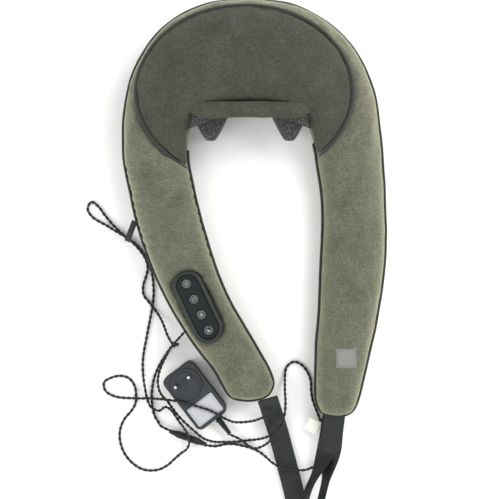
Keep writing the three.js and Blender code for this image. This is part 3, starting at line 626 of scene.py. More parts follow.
# Hand-worn surface: soft dents all over, and a ladder of fine creases across the left arm's root.
arm_top_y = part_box("left_arm_cushion")[1][1]
CREASES = 10
CREASE_PITCH, CREASE_DEPTH, CREASE_HALF = 9.6, 2.4 * MM, 2.1 * MM
crease_lines = [arm_top_y - (4 + CREASE_PITCH * i + random.uniform(-2, 2)) * MM for i in range(CREASES)]


def worn(points, normals):
    out = points.copy()
    for index, (point, normal) in enumerate(zip(points, normals)):
        x, y, z = point
        depth = 0.9 * MM * noise.noise(Vector((x, y, z)) * 28) + 0.35 * MM * noise.noise(Vector((x, y, z)) * 95)
        if x < -0.02 and normal[2] > -0.2 and crease_lines[-1] - 0.01 < y < crease_lines[0] + 0.01:
            waver = 3.2 * MM * noise.noise(Vector((x * 22, y * 6, 0.3)))
            for line in crease_lines:
                away = abs(y + waver - line + 0.12 * (x + 0.1))
                share = 0.5 + 0.5 * noise.noise(Vector((x * 18, line * 60, 1.7)))
                depth -= CREASE_DEPTH * share * math.exp(-(away / CREASE_HALF) ** 2)
        if z < 2 * MM:
            depth = min(depth, 0)
        out[index] += normal * depth
    out[:, 2] = np.maximum(out[:, 2], 0)
    return out


cover_points = coords(cover)
held = in_gearbox_room(cover_points)
roughened = worn(cover_points, normals_of(cover))
roughened[held] = cover_points[held]
set_coords(cover, roughened)
stand_in(cover, "cover", "neck_cover", "left_arm_cushion", "right_arm_cushion")

pad = link_object("crescent_cushion", merged_copy("crescent_cushion", "crescent_pad"), MATERIALS["neck_panel"])
remesh(pad, 2.6 * MM)
relax(pad, 0.5, 5)
puff(pad, 5 * MM, np.clip(normals_of(pad)[:, 2] * 1.5 + 0.3, 0, 1))
subdivide(pad)
pad_points, pad_normals = coords(pad), normals_of(pad)
for index in range(len(pad_points)):
    spot = Vector(pad_points[index])
    lift = 0.7 * MM * noise.noise(spot * 24) + 0.3 * MM * noise.noise(spot * 90)
    pad_points[index] += pad_normals[index] * lift * max(pad_normals[index][2], 0)
set_coords(pad, pad_points)
stand_in(pad, "neck_panel", "crescent_pad")


# ---- piping, laid on the finished cover ----

def tree_of(*pieces):
    whole = bmesh.new()
    for piece in pieces:
        whole.from_mesh(piece.data)
    tree = BVHTree.FromBMesh(whole)
    whole.free()
    return tree


cover_tree = tree_of(cover)
soft_tree = tree_of(cover, pad)
PIPING_R = 1.9 * MM
PIPING_STEP = 2.5 * MM


def dropped(tree, x, y):
    """Where a ray straight down through (x, y) first meets the cloth, or None."""
    return tree.ray_cast(Vector((x, y, SKY)), DOWN)[0]


def snapped(points, tree, proud):
    """Points moved onto the nearest cloth, standing proud of it sideways."""
    found = []
    for point in points:
        spot, normal, _, _ = tree.find_nearest(point)
        away = at_height(point - spot, 0)
        outward = away.normalized() if away.length > 1e-5 else normal
        found.append(spot + outward * proud)
    return found


def softened(points, rounds=3):
    for _ in range(rounds):
        inner = [(a + 2 * b + c) / 4 for a, b, c in zip(points, points[1:], points[2:])]
        points = [points[0], *inner, points[-1]]
    return points


edge_line = softened(snapped(resample(centre_line("edge_piping"), 5 * MM), cover_tree, 1.1 * MM))
build("perimeter_piping", tube(resample(edge_line, PIPING_STEP), PIPING_R, 12), "piping", "edge_piping")


def carried_on(points, length):
    """The points that go on past the last one with the curve's own turn."""
    reach = 5
    last = points[-1] - points[-1 - reach]
    earlier = points[-1 - reach] - points[-1 - 2 * reach]
    heading = math.atan2(last.y, last.x)
    turn = (heading - math.atan2(earlier.y, earlier.x)) / reach
    step = last.length / reach
    beyond = [points[-1]]
    for _ in range(int(length / step)):
        heading += turn
        beyond.append(beyond[-1] + step * Vector((math.cos(heading), math.sin(heading), 0)))
    return beyond[1:]


CLOTH_TOP = 30 * MM  # cloth higher than this belongs to the neck part
SEAM_LOWEST = 25 * MM
SEAM_SUNK = 0.6 * MM
SEAM_LIFT = 0.3 * MM


def over_cloth(point):
    hit = dropped(soft_tree, point.x, point.y)
    return hit is not None and hit.z > CLOTH_TOP


def seam_top(point, carried):
    """The seam's height: close to the CAD seam, or on the cloth where it carries on past it."""
    around = ((0, 0),) if carried else ((0, 0), (4, 0), (-4, 0), (0, 4), (0, -4))
    hits = [dropped(soft_tree, point.x + dx * MM, point.y + dy * MM) for dx, dy in around]
    top = max((hit.z for hit in hits if hit), default=point.z) - SEAM_SUNK
    return at_height(point, max(top, SEAM_LOWEST) if carried else min(max(top, point.z), point.z + SEAM_LIFT))


seam_core = [point for point in resample(centre_line("crescent_piping"), 4 * MM) if point.z > 22 * MM]
past_end, past_start = ([seam_top(point, True) for point in carried_on(line, 30 * MM) if over_cloth(point)]
                        for line in (seam_core, seam_core[::-1]))
tops = past_start[::-1] + [seam_top(point, False) for point in seam_core] + past_end
build("crescent_seam_piping", tube(resample(softened(tops, 4), PIPING_STEP), PIPING_R * 0.95, 12),
      "piping", "crescent_piping")


# ---- the kneading heads' net ----

SOCK_R = 26.4 * MM
NODE_OFFSET = 15 * MM
SOCK_BASE = 33 * MM
SOCK_TIP = 64.5 * MM
SKIRT = 28.2 * MM
INNER_SHARE = 0.97
NET_THICK = 1.1 * MM


def bump_height(x, y):
    """Height share of the net over one head: a tapered bump over each node, joined by a low saddle."""
    best = 0
    for way in (-1, 1):
        across = min(max(abs(x) / (23.5 * MM) - 0.22, 0) / 0.78, 1)
        dy = (y - way * NODE_OFFSET) * way
        along = min(dy / (11.6 * MM), 1) if dy > 0 else min(-dy / (19 * MM), 1)
        side = 1 - (along ** 5 if dy > 0 else along ** 1.7)
        best = max(best, (1 - across ** 1.15) * side)
    return best


def sock_mesh(side):
    spokes, rows = 96, 34
    grid = []
    for row in range(rows + 1):
        r = SOCK_R * row / rows
        rim = 1 - (r / SOCK_R) ** 14
        flat = [(r * math.cos(a), r * math.sin(a)) for a in angles(spokes)]
        grid.append([(x, y, SOCK_BASE + (SOCK_TIP - SOCK_BASE) * bump_height(x, y) * rim) for x, y in flat])
    inner = [[(x * INNER_SHARE, y * INNER_SHARE, z - NET_THICK) for x, y, z in ring] for ring in grid]
    skirts = [[(x * size, y * size, SKIRT) for x, y, _ in grid[-1]] for size in (1, INNER_SHARE)]
    rings = grid[1:] + skirts + inner[:0:-1]
    verts, faces = loft(rings, closed_ends=False)
    top, under = len(verts), len(verts) + 1
    verts += [Vector(grid[0][0]), Vector(inner[0][0])]
    last = (len(rings) - 1) * spokes
    for k in range(spokes):
        following = (k + 1) % spokes
        faces.append([top, following, k])
        faces.append([under, last + k, last + following])
    centre = Matrix.Translation((GEAR_BACK @ head_spots[side]).to_2d().to_3d())
    return placed((verts, faces), GEAR @ centre)


for side in ("left", "right"):
    sock = build(f"{side}_head_net", sock_mesh(side), "net", f"{side}_mesh_sock", body=f"{side}_head")
    relax(sock, 0.8, 9)

# The still net round the heads: a curved sheet with a hemmed hole for each head.
PANEL_X, PANEL_Y = 66 * MM, 33 * MM
HOLE_R = 27.6 * MM
COLLAR_R, COLLAR_FOOT = 28.3 * MM, 15 * MM


def net_wall_z(x, y):
    return 29.5 * MM + 3.6 * (x ** 2) + 2.5 * MM * (1 - (y / PANEL_Y) ** 2)


def net_panel_mesh():
    step = 1.6 * MM
    columns = int(2 * PANEL_X / step)
    rows = int(2 * PANEL_Y / step)
    sheet = bmesh.new()
    grid = {}
    for i in range(columns + 1):
        for j in range(rows + 1):
            x = -PANEL_X + 2 * PANEL_X * i / columns
            y = -PANEL_Y + 2 * PANEL_Y * j / rows
            reach = min(math.hypot(x - s * HEAD_X, y) for s in (-1, 1))
            if reach < HOLE_R - step:
                continue
            if reach < HOLE_R:
                hole_x = math.copysign(HEAD_X, x)
                x, y = hole_x + (x - hole_x) * HOLE_R / reach, y * HOLE_R / reach
            grid[i, j] = sheet.verts.new((x, y, net_wall_z(x, y)))
    for i in range(columns):
        for j in range(rows):
            corners = [grid.get(key) for key in ((i, j), (i + 1, j), (i + 1, j + 1), (i, j + 1))]
            if all(corners):
                sheet.faces.new(corners)
    bmesh.ops.remove_doubles(sheet, verts=sheet.verts, dist=0.2 * MM)
    loose = [v for v in sheet.verts if not v.link_faces]
    bmesh.ops.delete(sheet, geom=loose, context="VERTS")
    bmesh.ops.transform(sheet, matrix=GEAR, verts=sheet.verts)
    return sheet


def on_outer_rim(point):
    local = GEAR_BACK @ point
    return max(abs(local.x) / PANEL_X, abs(local.y) / PANEL_Y) > 0.985


# A skirt closes the sheet back to the cushion all round.
wall_sheet = net_panel_mesh()
outer_rim = [e for e in wall_sheet.edges if e.is_boundary and all(on_outer_rim(v.co) for v in e.verts)]
grown = bmesh.ops.extrude_edge_only(wall_sheet, edges=outer_rim)["geom"]
bmesh.ops.translate(wall_sheet, vec=-head_axis * 14 * MM,
                    verts=[g for g in grown if isinstance(g, bmesh.types.BMVert)])
wall_mesh = bpy.data.meshes.new("net_wall")
wall_sheet.to_mesh(wall_mesh)
wall_sheet.free()
net_wall = link_object("net_wall", wall_mesh, MATERIALS["net"])
reshaped(net_wall, "SOLIDIFY", thickness=1.0 * MM, offset=0)
stand_in(net_wall, "net", "mesh_panel")
for side in ("left", "right"):
    hole_x = (GEAR_BACK @ head_spots[side]).x
    hem = [(hole_x + p.x, p.y) for p in circle(HOLE_R, 72)]
    hem = [GEAR @ Vector((x, y, net_wall_z(x, y))) for x, y in hem]
    build(f"{side}_net_hem", tube(hem, 1.0 * MM, 10, closed=True), "piping")
    brim = [(hole_x + p.x, p.y, net_wall_z(hole_x + p.x, p.y)) for p in circle(COLLAR_R, 72)]
    foot = [(x, y, COLLAR_FOOT) for x, y, _ in brim]
    outer = [[(hole_x + (x - hole_x) * 1.02, y * 1.02, z) for x, y, z in ring] for ring in (foot, brim)]
    build(f"{side}_net_collar", placed(loft([brim, foot, *outer], closed_loop=True), GEAR), "net")


# ---- the rolled hem of the neck panel, over the net's upper edge ----

HEM_PATH = [(-72, 22, 21), (-68, 31, 23), (-52, 37.5, 25), (-25, 39, 24.5), (0, 39.4, 24), (25, 39, 24.5),
            (52, 37.5, 25), (68, 31, 23), (72, 22, 21)]
HEM_OUT, HEM_UP = 5 * MM, 9.4 * MM
hem_points = resample([Vector(p) * MM for p in HEM_PATH], 2.2 * MM)
hem_rings = []
for i, point in enumerate(hem_points):
    share = i / (len(hem_points) - 1)
    outward = heading_at(hem_points, i).cross(DOWN).normalized()
    size = (0.35 + 0.65 * min(1, 7 * share, 7 * (1 - share))) * (1 + 0.08 * noise.noise(point * 70))
    hem_rings.append([point + size * (outward * HEM_OUT * math.cos(a) + UP * HEM_UP * math.sin(a))
                      for a in angles(28)])
build("rolled_panel_hem", placed(loft(hem_rings), GEAR), "neck_panel")


# ---- hand loops ----

BAND_HALF = 12.3 * MM
BAND_THICK = 0.95 * MM
BAND_STEP = 1.6 * MM
STITCH_AT = 10.2 * MM
SEWN_IN = 12 * MM  # how far each end of a loop runs on into the cushion


def band_frames(node):
    """Centre, width direction and thickness direction along a flat CAD band."""
    frames = []
    for ring in tube_rings(node):
        middle = sum(ring, Vector()) / len(ring)
        offsets = np.array([tuple(v - middle) for v in ring])
        wide, thick = (Vector(axis) for axis in np.linalg.svd(offsets)[2][:2])
        if frames:
            wide = wide if wide.dot(frames[-1][1]) > 0 else -wide
            thick = thick if thick.dot(frames[-1][2]) > 0 else -thick
        frames.append((middle, wide, thick))
    return frames


def finer_frames(frames):
    """The band's frames run on at both ends, and spaced evenly along its centre."""
    for end, inner in ((0, 1), (-1, -2)):
        middle, wide, thick = frames[end]
        beyond = (middle + (middle - frames[inner][0]).normalized() * SEWN_IN, wide, thick)
        frames.insert(0 if end == 0 else len(frames), beyond)
    travelled = travelled_along(np.array([tuple(f[0]) for f in frames]))
    spots = np.linspace(0, travelled[-1], max(int(travelled[-1] / BAND_STEP), 2))
    columns = []
    for part in range(3):
        rows = np.array([tuple(f[part]) for f in frames])
        table = np.stack([np.interp(spots, travelled, rows[:, k]) for k in range(3)], axis=1)
        for _ in range(4):
            table[1:-1] = (table[:-2] + 2 * table[1:-1] + table[2:]) / 4
        columns.append([Vector(row) for row in table])
    return [(m, w.normalized(), t.normalized()) for m, w, t in zip(*columns)]


def band_section():
    """A flat oval, pressed in a little along the two rows of stitches."""
    section = []
    for angle in angles(44):
        c, s = math.cos(angle), math.sin(angle)
        u = BAND_HALF * math.copysign(abs(c) ** 0.45, c)
        v = BAND_THICK * math.copysign(abs(s) ** 0.5, s)
        v *= 1 - 0.35 * math.exp(-((abs(u) - STITCH_AT) / (0.8 * MM)) ** 2)
        section.append((u, v))
    return section


def ruffle(spot):
    return 0.35 * MM * noise.noise(spot * 60)


def capsule_dash(start, end, lift, radius):
    """A short stitch that rises out of the cloth and goes back in."""
    return tube([start, start.lerp(end, 0.2) + lift, start.lerp(end, 0.8) + lift, end], radius, 6)


section = band_section()
for side in ("left", "right"):
    frames = finer_frames(band_frames(f"{side}_hand_loop"))
    rings = [[middle + wide * u + thick * (v + ruffle(middle)) for u, v in section]
             for middle, wide, thick in frames]
    build(f"{side}_loop_band", loft(rings), "strap", f"{side}_hand_loop")
    dashes = []
    for start in range(2, len(frames) - 3, 3):
        (m0, w0, t0), (m1, w1, _) = frames[start], frames[start + 2]
        for edge_side in (-1, 1):
            for face in (-1, 1):
                rise = t0 * (face * BAND_THICK * 0.62 + ruffle(m0))
                a = m0 + w0 * STITCH_AT * edge_side + rise
                b = m0.lerp(m1, 0.85) + w0.lerp(w1, 0.85) * STITCH_AT * edge_side + rise
                dashes.append(capsule_dash(a, b, t0 * face * 0.22 * MM, 0.24 * MM))
    build(f"{side}_loop_stitches", joined(*dashes), "strap", look="stitch")


# ---- the twisted twin lead ----

STRAND_R = 0.92 * MM
STRAND_OFF = 0.84 * MM
STRAND_STEP = 1.5 * MM
TWIST_PITCH = 13 * MM
INTO_GRIP, INTO_ARM = 4 * MM, 10 * MM


def twin_lead(name, node, body, first_reach, last_reach):
    """The lead, with each end run on into the piece it is fixed in."""
    line = centre_line(node)
    line = [line[0] + (line[0] - line[1]).normalized() * first_reach] + line
    line.append(line[-1] + (line[-1] - line[-2]).normalized() * last_reach)
    line = resample(line, STRAND_STEP)
    strands = []
    for phase in (0, math.pi):
        points = []
        normal = None
        for i, point in enumerate(line):
            forward = heading_at(line, i)
            if normal is None:
                normal = forward.cross(UP).normalized()
            normal = (normal - forward * normal.dot(forward)).normalized()
            angle = 2 * math.pi * i * STRAND_STEP / TWIST_PITCH + phase
            around = normal * math.cos(angle) + forward.cross(normal) * math.sin(angle)
            points.append(point + STRAND_OFF * around)
        strands.append(tube(points, STRAND_R, 8))
    build(name, joined(*strands), "lead", node, body=body)


twin_lead("twisted_adapter_lead", "adapter_lead", LEAD_SIDE, INTO_GRIP, INTO_GRIP)
pigtail_line = centre_line("pigtail_lead")
pigtail_reach = (INTO_ARM, INTO_GRIP) if pigtail_line[0].z > pigtail_line[-1].z else (INTO_GRIP, INTO_ARM)
twin_lead("twisted_pigtail", "pigtail_lead", ROOT, *pigtail_reach)


# ---- places on the flat and moving pieces, from the frame ----

def centre_of(node):
    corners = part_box(node)
    return (corners[0] + corners[1]) / 2


def frame_along(direction, origin):
    """Axes with x along a horizontal direction and z up."""
    x = at_height(direction, 0).normalized()
    return Matrix.Translation(origin) @ Matrix((x, UP.cross(x), UP)).transposed().to_4x4()


def extent(node, matrix):
    back = matrix.inverted()
    local = np.array([tuple(back @ v.co) for v in nodes[node].data.vertices])
    return Vector(local.min(0)), Vector(local.max(0))


def spot_of(extents):
    """The middle of an extent in plan, at height zero."""
    return at_height((extents[0] + extents[1]) / 2, 0)


# ---- in-line connector ----

JACK = frame_along(centre_of("inline_plug") - centre_of("inline_socket"), centre_of("inline_socket"))
ALONG_X = Matrix.Rotation(math.pi / 2, 4, "Y")
GRIP_R, GRIP_EDGE_R, GROOVE_R, MOUTH_R, SPIGOT_R = 4.2 * MM, 3.7 * MM, 3.9 * MM, 2.95 * MM, 2.5 * MM
GRIP_TAIL = 9 * MM


def ribbed(start, reach, r):
    """Profile of a grip's ribbed tail, widening from the lead, as (radius, distance) pairs."""
    profile = []
    step = (reach - start) / 5
    for i in range(5):
        at = start + (reach - start) * i / 5
        width = 2.3 * MM + (r - 2.5 * MM) * i / 5
        profile += [(width * 0.86, at), (width * 0.86, at + step * 0.3),
                    (width, at + step * 0.38), (width, at + step * 0.92)]
    return profile


socket_low, socket_high = (corner.x for corner in extent("inline_socket", JACK))
socket_profile = ribbed(socket_low, socket_low + GRIP_TAIL, 4 * MM) + [
    (GRIP_EDGE_R, socket_low + 9.6 * MM), (4.15 * MM, socket_low + 11 * MM), (GRIP_R, socket_high - 3 * MM),
    (GROOVE_R, socket_high - 2.7 * MM), (GROOVE_R, socket_high - 2.1 * MM), (GRIP_R, socket_high - 1.8 * MM),
    (GRIP_R, socket_high - 0.5 * MM), (3.8 * MM, socket_high), (MOUTH_R, socket_high),
    (MOUTH_R, socket_high - 10 * MM), (0.01 * MM, socket_high - 10 * MM)]
plug_low, plug_high = (corner.x for corner in extent("inline_plug", JACK))
mouth = socket_high + 0.8 * MM
tail_start = plug_high - GRIP_TAIL
plug_profile = [(1.9 * MM, plug_low), (SPIGOT_R, plug_low + 0.6 * MM), (SPIGOT_R, mouth), (GRIP_EDGE_R, mouth),
                (GRIP_R, mouth + 0.6 * MM), (GRIP_R, tail_start - 2 * MM), (GRIP_EDGE_R, tail_start - 0.6 * MM)]
plug_profile += ribbed(plug_high, tail_start, 4 * MM)[::-1]
for node, profile, body in (("inline_socket", socket_profile, ROOT), ("inline_plug", plug_profile, LEAD_SIDE)):
    build(f"{node}_grip", placed(turned(profile, 40), JACK @ ALONG_X), "connector", node, body=body)


# ---- adapter ----

def rounded_ring(length, width, radius, z, per_corner=10):
    ring = []
    for corner, (sx, sy) in enumerate(((1, 1), (-1, 1), (-1, -1), (1, -1))):
        for i in range(per_corner):
            angle = math.pi / 2 * (corner + i / (per_corner - 1))
            ring.append(Vector((sx * (length / 2 - radius) + radius * math.cos(angle),
                                sy * (width / 2 - radius) + radius * math.sin(angle), z)))
    return ring


def soft_slab(length, width, radius, z0, z1, lower, upper, steps=6):
    """A rounded slab with rounded lower and upper edges, closed over the top by shrinking rings."""
    quarter = [math.pi / 2 * i / steps for i in range(steps + 1)]
    edges = [(lower * (1 - math.sin(a)), z0 + lower * (1 - math.cos(a))) for a in quarter]
    edges += [(upper * (1 - math.cos(a)), z1 - upper + upper * math.sin(a)) for a in quarter]
    rings = [rounded_ring(length - 2 * inset, width - 2 * inset, radius - inset * 0.8, z) for inset, z in edges]
    for share in (0.75, 0.5, 0.25, 0.05):
        top_length, top_width = (length - 2 * upper) * share, (width - 2 * upper) * share
        rings.append(rounded_ring(max(top_length, 2 * MM), max(top_width, 1.6 * MM),
                                  max((radius - upper * 0.8) * share, 0.4 * MM), z1))
    return loft(rings)


def cut(piece, cutter_part):
    cutter = new_object("cutter", *cutter_part, MATERIALS["adapter_case"], body=None)
    reshaped(piece, "BOOLEAN", operation="DIFFERENCE", object=cutter, solver="EXACT")
    bpy.data.objects.remove(cutter)


def sharpened(piece, degrees=35):
    piece.data.set_sharp_from_angle(angle=math.radians(degrees))


def disc_at(matrix, spot, profile, count=72):
    return placed(turned(profile, count), matrix @ Matrix.Translation(spot))


ADAPTER = frame_along(centre_of("adapter_label") - centre_of("plug_insert"), centre_of("adapter_lower_case"))
CASE_CORNER = 7.5 * MM
case_low, case_high = extent("adapter_lower_case", ADAPTER)
case_size = case_high - case_low
shells = {}
for name, node, lower, upper in (("adapter_lower_shell", "adapter_lower_case", 3 * MM, 0.5 * MM),
                                 ("adapter_upper_shell", "adapter_upper_case", 0.5 * MM, 2.6 * MM)):
    shell_low, shell_high = extent(node, ADAPTER)
    slab = soft_slab(case_size.x, case_size.y, CASE_CORNER, shell_low.z, shell_high.z, lower, upper)
    shells[name] = build(name, placed(slab, ADAPTER), "adapter_case", node, body=LEAD_SIDE)
lid_z = extent("adapter_upper_case", ADAPTER)[1].z
insert_low, insert_high = extent("plug_insert", ADAPTER)
insert_spot = spot_of((insert_low, insert_high))
insert_r = (insert_high.y - insert_low.y) / 2
well_r = insert_r + 0.4 * MM
cut(shells["adapter_upper_shell"],
    disc_at(ADAPTER, insert_spot, [(well_r, lid_z - 7.4 * MM), (well_r, lid_z + 20 * MM)]))
sharpened(shells["adapter_upper_shell"])

# The plug insert: a disc with a raised face, from (inset, drop from its top) pairs above its foot.
base_z, top_z = insert_low.z + 0.8 * MM, insert_high.z
insert_profile = [(insert_r - 0.4 * MM, base_z), (insert_r, base_z + 0.4 * MM)] + [
    (insert_r - inset * MM, top_z - drop * MM) for inset, drop in
    ((0, 3.6), (0.5, 3.1), (2.6, 2.9), (3.2, 2.6), (3.6, 0.6), (4.3, 0), (6, 0))]
insert_disc = build("plug_insert_disc", disc_at(ADAPTER, insert_spot, insert_profile), "adapter_case",
                    "plug_insert", body=LEAD_SIDE)
for name in ("left_plug_pin", "right_plug_pin"):
    pin_low, pin_high = extent(name, ADAPTER)
    spot = spot_of((pin_low, pin_high))
    cut(insert_disc, disc_at(ADAPTER, spot, [(2.5 * MM, pin_low.z), (2.5 * MM, top_z + 5 * MM)], 32))
    pin_r = (pin_high.y - pin_low.y) / 2
    pin_profile = [(pin_r, pin_low.z)] + [(pin_r * size, pin_high.z - drop * MM) for size, drop in
                                          ((1, 2.2), (0.86, 0.9), (0.5, 0.15), (0.2, 0))]
    build(f"{name}_round", disc_at(ADAPTER, spot, pin_profile, 32), "pin", name, body=LEAD_SIDE)
    sleeve_z = (pin_low.z + pin_high.z) / 2
    sleeve_profile = [(pin_r + 0.16 * MM, top_z - 2 * MM), (pin_r + 0.16 * MM, sleeve_z),
                      (pin_r + 0.02 * MM, sleeve_z + 0.2 * MM)]
    build(f"{name}_sleeve", disc_at(ADAPTER, spot, sleeve_profile, 32), "adapter_case", body=LEAD_SIDE)
sharpened(insert_disc)

label_low, label_high = extent("adapter_label", ADAPTER)
label_size = label_high - label_low
LABEL = ADAPTER @ Matrix.Translation(spot_of((label_low, label_high)))
film = soft_slab(label_size.x, label_size.y, 1.8 * MM, lid_z + 0.1 * MM, lid_z + 0.5 * MM, 0.1 * MM, 0.1 * MM)
build("adapter_label_film", placed(film, LABEL), "adapter_label", "adapter_label", body=LEAD_SIDE)
border = [LABEL @ at_height(p * 0.9, lid_z + 0.52 * MM)
          for p in rounded_ring(label_size.x, label_size.y, 2.2 * MM, 0)]
build("adapter_label_border", tube(border, 0.14 * MM, 6, closed=True), "adapter_label",
      look="stitch", body=LEAD_SIDE)

relief_low, relief_high = extent("adapter_strain_relief", ADAPTER)
relief_middle = (relief_low + relief_high) / 2
RELIEF = ADAPTER @ Matrix.Translation((relief_low.x, relief_middle.y, relief_middle.z))
COLLAR_END = 13.2 * MM
RELIEF_RIBS = 7
pitch = (relief_high.x - relief_low.x - 14 * MM) / RELIEF_RIBS
relief_profile = [(3.2 * MM, 0), (3.2 * MM, 9.6 * MM), (4.5 * MM, 10.2 * MM), (4.5 * MM, 12.6 * MM)]
for i in range(RELIEF_RIBS):
    at = COLLAR_END + pitch * i
    width = (3.9 - 0.2 * i) * MM
    relief_profile += [(width * 0.78, at), (width * 0.78, at + pitch * 0.32),
                       (width, at + pitch * 0.42), (width, at + pitch * 0.92)]
build("strain_relief_boot", placed(turned(relief_profile, 32), RELIEF @ ALONG_X), "connector",
      "adapter_strain_relief", body=LEAD_SIDE)


# ---- button panel ----

KEYS = ("power", "direction", "heat", "speed")
PANEL = frame_along(centre_of("speed_button") - centre_of("power_button"), centre_of("control_bezel"))
bezel_low, bezel_high = extent("control_bezel", PANEL)
panel_length, panel_width = bezel_high.x - bezel_low.x, bezel_high.y - bezel_low.y
rim_z, foot_z = bezel_high.z, bezel_low.z


def capsule_loft(rows, arc=26, closed_loop=False):
    """A long rounded shape through (inset, height) rows."""
    half = (panel_length - panel_width) / 2
    rings = []
    for inset, z in rows:
        radius = panel_width / 2 - inset
        sweep = [-math.pi / 2 + math.pi * i / arc for i in range(arc + 1)]
        rings.append([Vector((way * (half + radius * math.cos(a)), way * radius * math.sin(a), z))
                      for way in (1, -1) for a in sweep])
    return placed(loft(rings, closed_loop=closed_loop), PANEL)


build("panel_bezel", capsule_loft([
    (0.3 * MM, foot_z), (0, foot_z + 0.4 * MM), (0, rim_z - 2.4 * MM), (0.25 * MM, rim_z - 1.4 * MM),
    (0.8 * MM, rim_z - 0.5 * MM), (1.7 * MM, rim_z - 0.05 * MM), (2.6 * MM, rim_z + 0.1 * MM), (3.6 * MM, rim_z),
    (4.4 * MM, rim_z - 0.5 * MM), (4.8 * MM, rim_z - 1.4 * MM), (5 * MM, foot_z)], closed_loop=True),
    "panel_plastic", "control_bezel")
FASCIA_INSET = 5.3 * MM
KEY_HOLE_R = 6.6 * MM
fascia_low, fascia_high = extent("control_fascia", PANEL)
face_z = fascia_high.z
fascia = build("panel_fascia", capsule_loft([
    (FASCIA_INSET, fascia_low.z), (FASCIA_INSET, face_z - 0.4 * MM), (FASCIA_INSET + 0.3 * MM, face_z - 0.1 * MM),
    (FASCIA_INSET + 1.2 * MM, face_z), (panel_width / 2 - 5 * MM, face_z + 0.15 * MM),
    (panel_width / 2 - 0.5 * MM, face_z + 0.2 * MM)]), "fascia", "control_fascia")
key_spots = {key: spot_of(extent(f"{key}_button", PANEL)) for key in KEYS}
for key in KEYS:
    cut(fascia, disc_at(PANEL, key_spots[key], [(KEY_HOLE_R, foot_z - 5 * MM), (KEY_HOLE_R, rim_z + 5 * MM)], 64))
sharpened(fascia)


def polar(radius, angle, z):
    return Vector((radius * math.cos(angle), radius * math.sin(angle), z))


def arc_line(radius, start, end, z, count=22):
    return [polar(radius, math.radians(start + (end - start) * i / count), z) for i in range(count + 1)]


def flat_line(points, width, thick=0.1 * MM):
    """A printed line: a low ribbon along points."""
    rings = []
    for i, point in enumerate(points):
        forward = heading_at(points, i)
        side = Vector((-forward.y, forward.x, 0)) * width / 2
        up = UP * thick
        rings.append([point - side, point + side, point + side + up, point - side + up])
    return loft(rings)


def arrow_tip(base, heading, size):
    forward = Vector((math.cos(heading), math.sin(heading), 0))
    side = Vector((-forward.y, forward.x, 0))
    corners = [base + side * size, base - side * size, base + forward * size * 1.5]
    return loft([corners, [c + UP * 0.1 * MM for c in corners]])


GLYPH_R, GLYPH_LINE = 1.9 * MM, 0.42 * MM


def glyph(key, z):
    """A plain sign: power, turning arrows, waves for heat, or rising bars for speed."""
    def upright(x, y0, y1):
        return [Vector((x * MM, y0 * MM, z)), Vector((x * MM, y1 * MM, z))]

    if key == "power":
        return [flat_line(arc_line(GLYPH_R, 125, 415, z), GLYPH_LINE), flat_line(upright(0, 0.5, 2.5), GLYPH_LINE)]
    if key == "direction":
        parts = []
        for start in (20, 200):
            parts.append(flat_line(arc_line(GLYPH_R, start, start + 125, z), GLYPH_LINE))
            tip = math.radians(start + 125)
            parts.append(arrow_tip(polar(GLYPH_R, tip, z), tip + math.pi / 2, 0.55 * MM))
        return parts
    if key == "heat":
        waves = [[Vector(((dx + 0.42 * math.sin(2 * math.pi * i / 16)) * MM, (-2 + 4 * i / 20) * MM, z))
                  for i in range(21)] for dx in (-1.4, 0, 1.4)]
        return [flat_line(wave, GLYPH_LINE) for wave in waves]
    bars = ((-1.35, 1.4), (0, 2.6), (1.35, 3.8))
    return [flat_line(upright(x, -1.9, -1.9 + tall), 0.75 * MM) for x, tall in bars]


# A cap's (radius, drop from its top) pairs: a stem, a flange under the fascia and a dished top.
CAP_STEM_R = 2
CAP_PROFILE = ((CAP_STEM_R, 5), (7.5, 5), (7.5, 4), (6.15, 3.9), (6.15, 0.7), (5.95, 0.25), (5.6, 0),
               (5.0, 0.05), (3.6, 0.3), (1.8, 0.42), (0.1, 0.45))
TICKS = 20
TICK_IN, TICK_OUT = 3.7 * MM, 4.7 * MM

for key in KEYS:
    key_low, key_high = extent(f"{key}_button", PANEL)
    top = key_high.z
    key_matrix = PANEL @ Matrix.Translation(key_spots[key])
    profile = [(CAP_STEM_R * MM, key_low.z)] + [(r * MM, top - drop * MM) for r, drop in CAP_PROFILE]
    cap = build(f"{key}_cap", placed(turned(profile, 64), key_matrix), "button",
                f"{key}_button", body=f"{key}_key")
    sharpened(cap, 50)
    marks = []
    for i in range(TICKS):
        a = 2 * math.pi * (i + 0.5) / TICKS
        tick = [polar(TICK_IN, a, top - 0.26 * MM), polar(TICK_OUT, a, top - 0.12 * MM)]
        marks.append(flat_line(tick, 0.3 * MM, 0.12 * MM))
    marks += glyph(key, top - 0.42 * MM)
    build(f"{key}_marks", placed(joined(*marks), key_matrix), "button",
          look="print", body=f"{key}_key", smooth=False)


# ---- sewn-on labels ----

def plan_frame(node):
    """Axes along the sides of a flat CAD box, its middle on top, and its half sizes."""
    points = [v.co for v in nodes[node].data.vertices]
    first = points[0]
    apart = [Vector((p.x - first.x, p.y - first.y, 0)) for p in points]
    side = min((d for d in apart if d.length > 2 * MM), key=lambda d: d.length)
    matrix = frame_along(side, centre_of(node))
    low_corner, high_corner = extent(node, matrix)
    return matrix, (high_corner - low_corner) / 2


